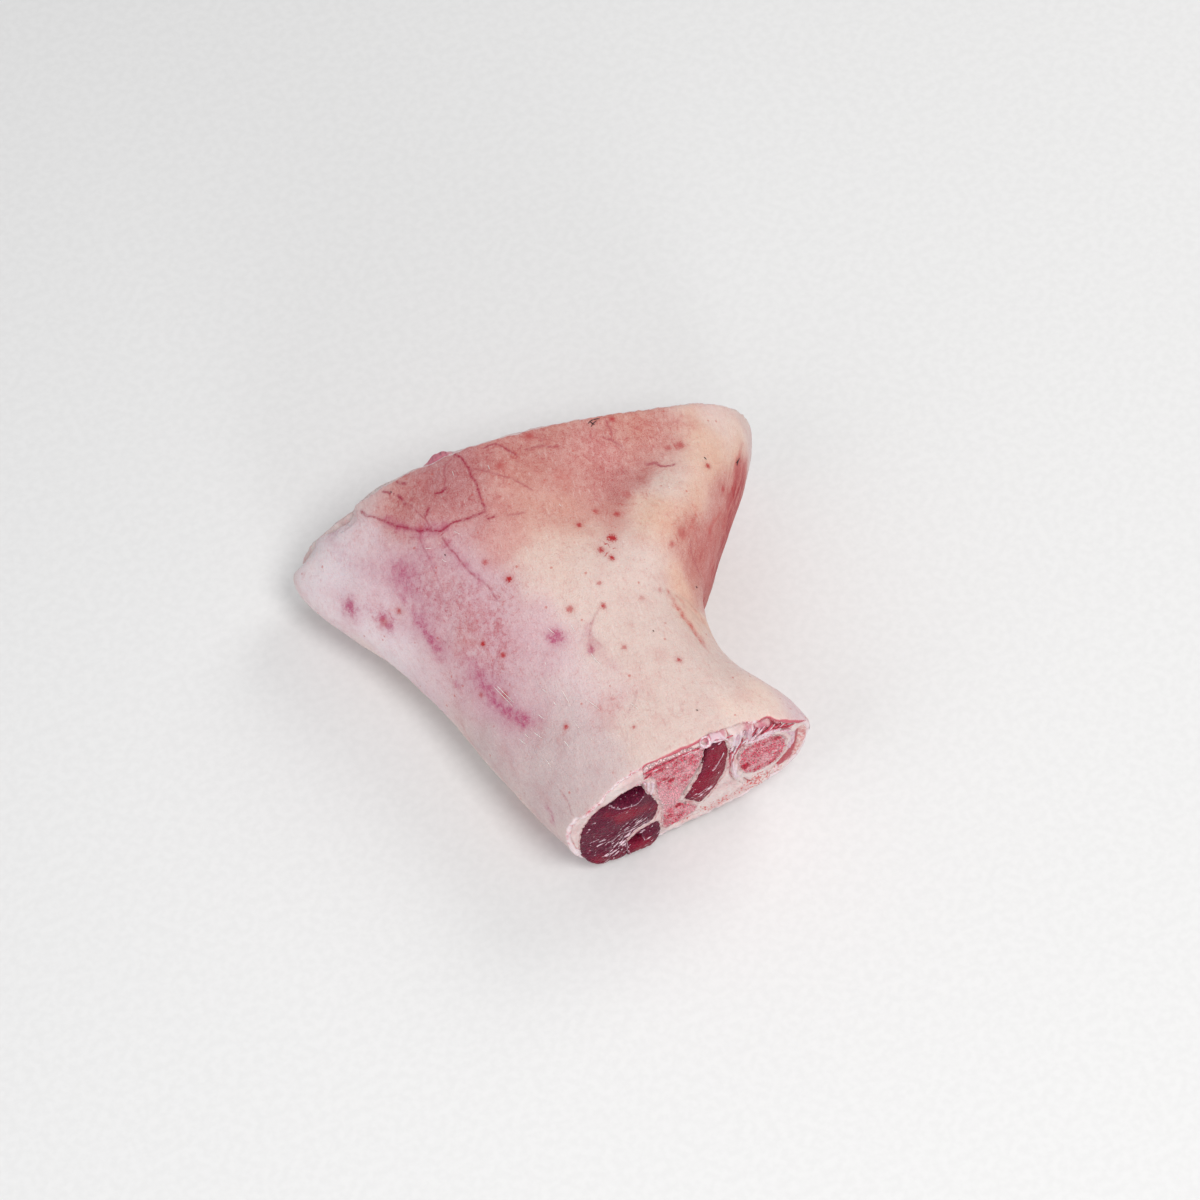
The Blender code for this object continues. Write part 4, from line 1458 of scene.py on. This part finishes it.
def make_meat():
    parts = []
    for name, outline, relief in (
        ("front_muscle", FRONT_MUSCLE, front_muscle_relief),
        ("lower_muscle", LOWER_MUSCLE, lower_muscle_relief),
        ("middle_muscle", MIDDLE_MUSCLE, middle_muscle_relief),
    ):
        part = plug(name, NARROW_END, edge_of(outline), NARROW_MESH, relief)
        flat = NARROW_END.flat(places_of(part))
        paint(
            part, seam=strokes_at(flat, MEAT_STRINGS), flecked=dabs_at(flat, MEAT_FLECKED),
            ruddy=dabs_at(flat, MEAT_RUDDY), shade=meat_shade(flat),
        )
        parts.append(part)
    for number, outline in enumerate(WIDE_MUSCLES):
        edge = edge_of(outline, ragged=WIDE_RAGGED)
        part = plug(f"wide_muscle_{number}", WIDE_END, edge, WIDE_MESH, wide_muscle_relief)
        flat = WIDE_END.flat(places_of(part))
        paint(
            part, seam=0.9 * fade(ripple(flat, 12, 58), 0.06),
            flecked=0.7 * smoothstep(0.1, 0.6, ripple(flat, 9, 52)),
            ruddy=0.3 + 0.4 * smoothstep(-0.4, 0.5, ripple(flat, 16, 53)),
        )
        parts.append(part)
    parts.append(through_core("meat", "inner_meat"))
    finish_piece(join("marbled_meat", parts), muscle_finish(), "meat", "meat")


def meat_shade(flat):
    hollow = np.maximum(sunk(flat, MUSCLE_RECESS, 1.8), sunk(flat, LOWER_HOLE, 1.4))
    return np.maximum(hollow, dabs_at(flat, MEAT_SHADE)) * (1 - strokes_at(flat, MEAT_STRINGS))


def bone_end(name, end, outline, mesh, crimson, pale):
    """A bone's sawn face, painted with its crimson and pale places and the distance inside its edge."""
    edge = edge_of(outline)
    piece = plug(name, end, edge, mesh, sawn_bone_relief)
    flat = end.flat(places_of(piece))
    paint(piece, ring=np.maximum(depth_inside(flat, edge), 0), crimson=crimson(flat), pale=pale(flat))
    return piece


def make_bone(node, narrow_outline, wide_outline):
    narrow = bone_end(
        "sawn_" + node, NARROW_END, narrow_outline, NARROW_MESH,
        lambda flat: dabs_at(flat, BONE_CRIMSON), lambda flat: dabs_at(flat, BONE_PALE),
    )
    wide = bone_end(
        node + "_wide", WIDE_END, wide_outline, WIDE_MESH,
        lambda flat: 0.5 * smoothstep(0.1, 0.9, ripple(flat, 5, 54)),
        lambda flat: smoothstep(0.1, 0.5, ripple(flat, 11, 55)),
    )
    bone = join("sawn_" + node, [narrow, wide, through_core(node, node + "_inner")])
    finish_piece(bone, bone_finish(), "bone", node)


def drawn_in(rim, inset):
    """The rind's outline at a cut, drawn in by about the inset."""
    low, high = rim.min(0), rim.max(0)
    middle, half = (low + high) / 2, (high - low) / 2
    return curve_through(middle + (rim - middle) * (1 - inset / half), closed=True, steps=2)


def make_narrow_fat(rim):
    outline = drawn_in(rim, FAT_INSET)
    piece = plug("narrow_fat", NARROW_END, outline, NARROW_MESH, narrow_fat_relief)
    flat = NARROW_END.flat(places_of(piece))
    across, up = flat.T
    borders = np.min([np.abs(depth_inside(flat, edge_of(each))) for each in NARROW_OUTLINES], axis=0)
    edge = depth_inside(flat, outline)
    right = smoothstep(84, 88, across) * smoothstep(4.0, 2.8, edge) * smoothstep(46, 42, up)
    below = 0.8 * smoothstep(1.4, 0.3, edge) * smoothstep(36, 26, up)
    # The dark mask is painted shade along the gap beside the middle muscle.
    paint(
        piece, line=np.maximum(strokes_at(flat, FAT_SLITS), 0.6 * fade(borders, 0.7)),
        dark=strokes_at(flat, SHADED_BONE_GAP), strand=strokes_at(flat, FAT_STRANDS),
        membrane=dabs_at(flat, FAT_PINK), blood=dabs_at(flat, FAT_BLOOD),
        rindband=np.clip(right + below, 0, 1),
    )
    finish_piece(piece, fat_finish(), "rind", "rind_and_fat")


def make_wide_fat(rim):
    piece = plug("wide_fat", WIDE_END, drawn_in(rim, FAT_INSET), WIDE_MESH, wide_fat_relief)
    flat = WIDE_END.flat(places_of(piece))
    across, up = flat.T
    flap = fade(across - FLAP_PLACE + 2 * ripple(flat, 4, 59), 6)
    flap *= smoothstep(53, 60, up + ripple(flat, 3, 57))
    membrane = np.maximum(0.5 * smoothstep(0.2, 0.6, ripple(flat, 9, 51)), 1.2 * flap)
    paint(piece, membrane=membrane, blood=smoothstep(0.25, 0.7, ripple(flat, 12, 56)))
    finish_piece(piece, fat_finish(), "rind", "rind_and_fat")


def make_sinews():
    finish = sinew_finish()
    for name, outline in (("tendon_one", TENDON_ONE), ("tendon_two", TENDON_TWO), ("cartilage", CARTILAGE)):
        piece = plug(name, NARROW_END, edge_of(outline), SINEW_MESH, sinew_relief, depth=SINEW_DEPTH)
        finish_piece(piece, finish, "meat")


# ---------------------------------------------------------------- strands


class Shred(NamedTuple):
    """A strand of tissue on the narrow end, through (across, up, out) places, in millimetres."""

    places: tuple
    radius: float = 0.35


# Shreds of white fat and of red tissue that the saw left.
WHITE_SHREDS = many(
    Shred, (((28.4, 50, 0.6), (28.8, 47, 1.4), (28.2, 43.6, 1.2), (28.8, 41, 0.8)), 0.5),
    (((30.2, 49.6, 0.6), (30.4, 46.6, 1.4), (29.8, 43, 1.0), (30.4, 40.4, 0.6)), 0.45),
    (((26.6, 51.8, 0.4), (27.6, 50.4, 1.2), (27.2, 48, 1.0)), 0.45),
    (((23.6, 52.4, 0), (25, 51.4, 0.8), (26, 49.8, 0.6)), 0.35),
    (((28.6, 58.2, 0.6), (31, 58.2, 1.8), (33, 59.6, 1.6)), 0.4),
    (((33.4, 60.4, 0.6), (36, 61.2, 1.8), (38.4, 62.2, 1.2)), 0.4),
    (((39, 62, 0.8), (42.6, 62.4, 1.8), (45.4, 63, 1.0)), 0.4),
    (((45.4, 62.6, 0.8), (47.6, 62.2, 1.6), (49.8, 61.4, 1.0)), 0.35),
    (((60.4, 47, 0.8), (61.6, 53, 1.8), (64.4, 59.6, 0.8)), 0.5),
    (((61.4, 42, 0.6), (62.6, 49, 1.6), (65, 56, 1.2)), 0.45),
    (((64.4, 48.6, 0.6), (67, 53, 1.8), (70.6, 58.6, 0.8)), 0.5),
    (((63.4, 52, 0.8), (64.8, 56.6, 1.8), (66.4, 60.4, 0.6)), 0.4),
    (((67.4, 49.4, 0.8), (71, 53, 1.8), (74.6, 57.4, 0.8)), 0.5),
    (((70.4, 49.2, 0.8), (75, 51.4, 1.8), (78.6, 55.4, 0.8)), 0.45),
    (((74, 49, 1.0), (78.4, 49.8, 1.6), (82, 52, 0.8)), 0.4),
    (((66.6, 48.2, 0.8), (72, 48.2, 1.6), (78, 47.4, 1.0)), 0.55),
    (((80, 46.8, 0.8), (82.6, 46.2, 1.4), (84.6, 44.4, 1.0)), 0.5),
    (((17.4, 13.4, 2), (18.6, 12.6, 2.6), (18.6, 11.2, 2.4)), 0.3),
    (((19.4, 9.4, 1.6), (19.8, 7.6, 2.4), (20.6, 6.2, 2.4)), 0.35),
    (((57.8, 49.6, 1.6), (56.2, 46.4, 2.2), (54.2, 42.4, 2.0)), 0.3),
    (((53.4, 63.0, 0.6), (55.6, 61.8, 1.8), (58, 61.6, 1.4), (60, 59.8, 0.8)), 0.5),
)
RED_SHREDS = many(
    Shred, (((26.8, 57.8, 0.6), (28.8, 58.6, 1.8), (30.8, 60.2, 1.4)), 0.55),
    (((29.6, 60.2, 0.6), (32, 61.0, 1.8), (34.4, 62.0, 1.2)), 0.55),
    (((33.4, 62, 0.8), (36.4, 62.8, 1.8), (39.6, 63.6, 1.0)), 0.5),
    (((27, 53.6, 0.6), (28.6, 55, 1.4), (29.8, 57, 1.2)), 0.35),
    (((39, 63.2, 0.8), (42, 64, 1.6), (45.4, 64.2, 1.0)), 0.45),
    (((45, 64, 0.8), (47.4, 63.8, 1.6), (49.4, 63, 1.0)), 0.4),
    (((54, 64.6, 0.4), (57, 64.4, 1.4), (60.4, 63.8, 1.4), (64.4, 62.8, 0.8)), 0.35),
    (((51.0, 61.6, 1.8), (51.8, 62.6, 2.4), (52.4, 61.4, 2.2)), 0.6),
    (((62.4, 43.6, 0.8), (63.6, 48.6, 1.4), (65.6, 53, 0.8)), 0.45),
    (((65.4, 48.6, 0.8), (68.6, 53.4, 1.6), (72, 58, 0.6)), 0.4),
    (((69.4, 50.6, 0.8), (72.8, 54.2, 1.6), (76, 59, 0.4)), 0.5),
    (((72.6, 50.6, 0.8), (76, 53.6, 1.6), (78.8, 57.8, 0.4)), 0.5),
    (((76, 51, 1.0), (79.4, 53, 1.6), (81.6, 55, 0.6)), 0.45),
    (((78, 50.2, 1.0), (81.4, 50.8, 1.6), (84, 51, 0.6)), 0.4),
    (((80.6, 48.6, 0.8), (83.4, 48.6, 1.4), (85.8, 47.6, 0.6)), 0.45),
    (((60.8, 50, 0.6), (61, 46, 1.0), (60.6, 41, 0.8), (60.8, 36, 0.6)), 0.5),
    (((61.4, 46, 0.6), (62, 42, 1.0), (61.8, 38, 0.6)), 0.5),
)
# White bristles and their stubs, dark hairs and dark specks, by pixels of the photograph.
BRISTLES = (
    ((561, 689), (566, 697), (571, 706)), ((585, 699), (593, 704), (600, 710)),
    ((548, 628), (551, 631), (555, 634)), ((571, 625), (573, 628), (575, 631)),
    ((493, 686), (504, 697), (513, 706)), ((496, 685), (506, 695), (515, 703)),
    ((542, 689), (545, 691), (548, 693)), ((553, 701), (555, 704), (558, 706)),
    ((564, 741), (567, 744), (570, 748)), ((519, 739), (523, 742), (527, 745)),
    ((524, 733), (527, 736), (530, 738)), ((533, 732), (539, 736), (544, 739)),
    ((630, 703), (635, 706), (639, 710)), ((591, 653), (595, 660), (600, 664)),
    ((425, 549), (428, 548), (432, 549)), ((442, 559), (444, 561), (447, 562)),
    ((452, 471), (453, 473), (454, 476)), ((488, 465), (489, 468), (490, 470)),
    ((545, 662), (546, 664), (546, 665)), ((590, 737), (591, 739), (592, 740)),
    ((668, 487), (669, 488), (671, 489)), ((559, 504), (560, 505), (561, 507)),
    ((649, 491), (650, 493), (650, 494)), ((454, 531), (457, 533), (460, 534)),
    ((538, 714), (541, 717), (545, 719)), ((545, 759), (549, 763), (552, 768)),
    ((576, 724), (578, 727), (580, 729)),
)
DARK_HAIRS = (
    ((588, 424), (590, 421), (594, 420)), ((591, 427), (593, 423), (597, 421)),
    ((593, 420), (596, 419), (600, 419)), ((590, 421), (592, 424), (595, 425)),
    ((445, 554), (445, 555), (446, 556)), ((391, 491), (391, 492), (392, 493)),
    ((696, 710), (697, 710), (698, 711)), ((696, 586), (696, 587), (697, 588)),
    ((653, 630), (653, 631), (654, 632)), ((704, 457), (705, 458), (706, 460)),
    ((736, 463), (738, 461), (739, 458)), ((737, 466), (737, 463), (738, 460)),
)
HIDDEN_BRISTLES = 22
FACES_AN_END, LOWEST_ROOT = 0.6, 0.004  # past these the skin takes no hidden bristle
BRISTLE_RADIUS, HAIR_RADIUS = 0.15, 0.22
HAIR_LIFTS = (-0.1, 0.15, 0.3)  # off the skin at the root, the middle and the tip
TUBE_TAPER = (0.55, 1.0, 1.0, 0.75, 0.25)
# The curl's middle, (across, up, out) on the narrow end, and its size in millimetres.
CURL_PLACE = (50.6, 61.8, 0.2)
CURL_RADIUS, CURL_THICKNESS = 1.7, 0.9
SHRED_LIFT = 0.65  # of the heights that the shreds give
SHRED_MARGIN = 2.6  # kept between the shreds and the rind's outline, in millimetres


def tube(name, places, radius):
    """A thin tapering tube through places in metres."""
    bpy.ops.object.select_all(action="DESELECT")
    bpy.ops.curve.primitive_nurbs_path_add()
    piece = bpy.context.active_object
    piece.name = name
    curve = piece.data
    path = curve_through([tuple(place) for place in places], steps=8)
    for i, (point, thickness) in enumerate(zip(curve.splines[0].points, TUBE_TAPER, strict=True)):
        share = i / (len(TUBE_TAPER) - 1)
        point.co = (*path[round(share * (len(path) - 1))], 1)
        point.radius = thickness
    curve.bevel_depth = radius * MM
    curve.bevel_resolution = 1
    curve.resolution_u = 3
    curve.use_fill_caps = True
    bpy.ops.object.convert(target="MESH")
    edit_whole(piece)
    bpy.ops.mesh.remove_doubles(threshold=TUBE_MERGE_GAP)
    bpy.ops.mesh.normals_make_consistent(inside=False)
    object_mode()
    return piece


def held_inside(flat, outline, margin):
    """Places on a cut, with those near its outline or past it drawn in to the margin."""
    depth = depth_inside(flat, outline)
    _, nearest = nearest_on(flat, outline, closed=True)
    inward = (flat - nearest) / np.where(np.abs(depth) < 1e-6, 1e-6, depth)[:, None]
    return np.where((depth < margin)[:, None], nearest + inward * margin, flat)


def make_shreds(name, shreds, finish, rim):
    tubes = []
    for shred in shreds:
        across, up, out = np.array(shred.places).T
        flat = held_inside(np.stack([across, up], -1), rim, SHRED_MARGIN)
        lifts = out * SHRED_LIFT * MM
        places = [NARROW_END.matrix @ Vector((*place, lift)) for place, lift in zip(flat * MM, lifts)]
        tubes.append(tube(name, places, shred.radius))
    finish_piece(join(name, tubes), finish, "meat")


def make_curl(finish):
    """A curl of white tissue beside the large bone, facing up the camera's sight."""
    facing = camera_axes()[2].to_track_quat("Z", "Y").to_euler()
    place = NARROW_END.matrix @ (Vector(CURL_PLACE) * MM)
    bpy.ops.object.select_all(action="DESELECT")
    bpy.ops.mesh.primitive_torus_add(
        location=place, rotation=facing, major_segments=32, minor_segments=12,
        major_radius=CURL_RADIUS * MM, minor_radius=CURL_THICKNESS / 2 * MM,
    )
    piece = bpy.context.active_object
    piece.name = "white_curl"
    bpy.ops.object.transform_apply(location=True, rotation=True, scale=True)
    places = places_of(piece)
    swell = 0.5 * ripple(places / MM, 1.8, 95) * MM
    move_to(piece, places + normals_of(piece) * swell[:, None])
    finish_piece(piece, finish, "meat")


def make_hairs(name, lines, radius, finish, finder, loose=()):
    """Hairs that lie on the skin, from their roots just under it to their raised tips."""
    tubes = [tube(name, places, radius) for places in loose]
    for pixels in lines:
        hits = [finder.at(*pixel) for pixel in pixels]
        if all(place for place, _ in hits):
            places = [place + facing * (lift * MM) for (place, facing), lift in zip(hits, HAIR_LIFTS)]
            tubes.append(tube(name, places, radius))
    finish_piece(join(name, tubes), finish, "rind")


def hidden_bristles(piece):
    """Bristles scattered over the skin that the photograph doesn't show, lying along the leg."""
    places, facing = places_of(piece), normals_of(piece)
    hidden = Hidden(places, facing)
    uniform = hidden.chance.uniform
    lines = []
    for _ in range(HIDDEN_BRISTLES):
        index = hidden.pick()
        root, out = Vector(places[index]), Vector(facing[index])
        if abs(out.y) > FACES_AN_END or root.z < LOWEST_ROOT:
            continue
        way = Vector((uniform(-0.4, 0.4), -1, uniform(-0.2, 0.2)))
        way = (way - out * way.dot(out)).normalized() * uniform(2, 5) * MM
        lines.append([root - out * 0.1 * MM, root + way / 2 + out * 0.15 * MM, root + way + out * 0.1 * MM])
    return lines


def shred_finish(name, light, deep):
    finish = Finish(name)
    cloud = finish.noise(1.2, 3, 0.6)
    colour = finish.mix(finish.band(cloud, 0.4, 0.62), light, deep)
    return finish.flesh(colour, 0.3, cloud, 0.2, Subsurface_Weight=0.1)


def make_strands(rind, finder, rim):
    white = shred_finish("white_tissue", tone(230, 214, 221), tone(212, 142, 158))
    red = shred_finish("red_tissue", tone(206, 84, 104), tone(160, 20, 52))
    pale = shred_finish("pale_bristle", tone(244, 236, 232), tone(232, 214, 208))
    dark = shred_finish("dark_hair", tone(44, 24, 26), tone(84, 44, 40))
    make_shreds("white_shreds", WHITE_SHREDS, white, rim)
    make_curl(white)
    make_shreds("red_shreds", RED_SHREDS, red, rim)
    make_hairs("white_bristles", BRISTLES, BRISTLE_RADIUS, pale, finder, hidden_bristles(rind))
    make_hairs("dark_hairs", DARK_HAIRS, HAIR_RADIUS, dark, finder)


# ---------------------------------------------------------------- the light, the camera and the parts

make_camera()
make_studio()
make_floor()
rind, on_rind, (narrow_rim, wide_rim) = make_rind()
make_meat()
make_bone("large_bone", LARGE_BONE, WIDE_LARGE_BONE)
make_bone("small_bone", SMALL_BONE, WIDE_SMALL_BONE)
make_narrow_fat(narrow_rim)
make_wide_fat(wide_rim)
make_sinews()
make_strands(rind, on_rind, narrow_rim)
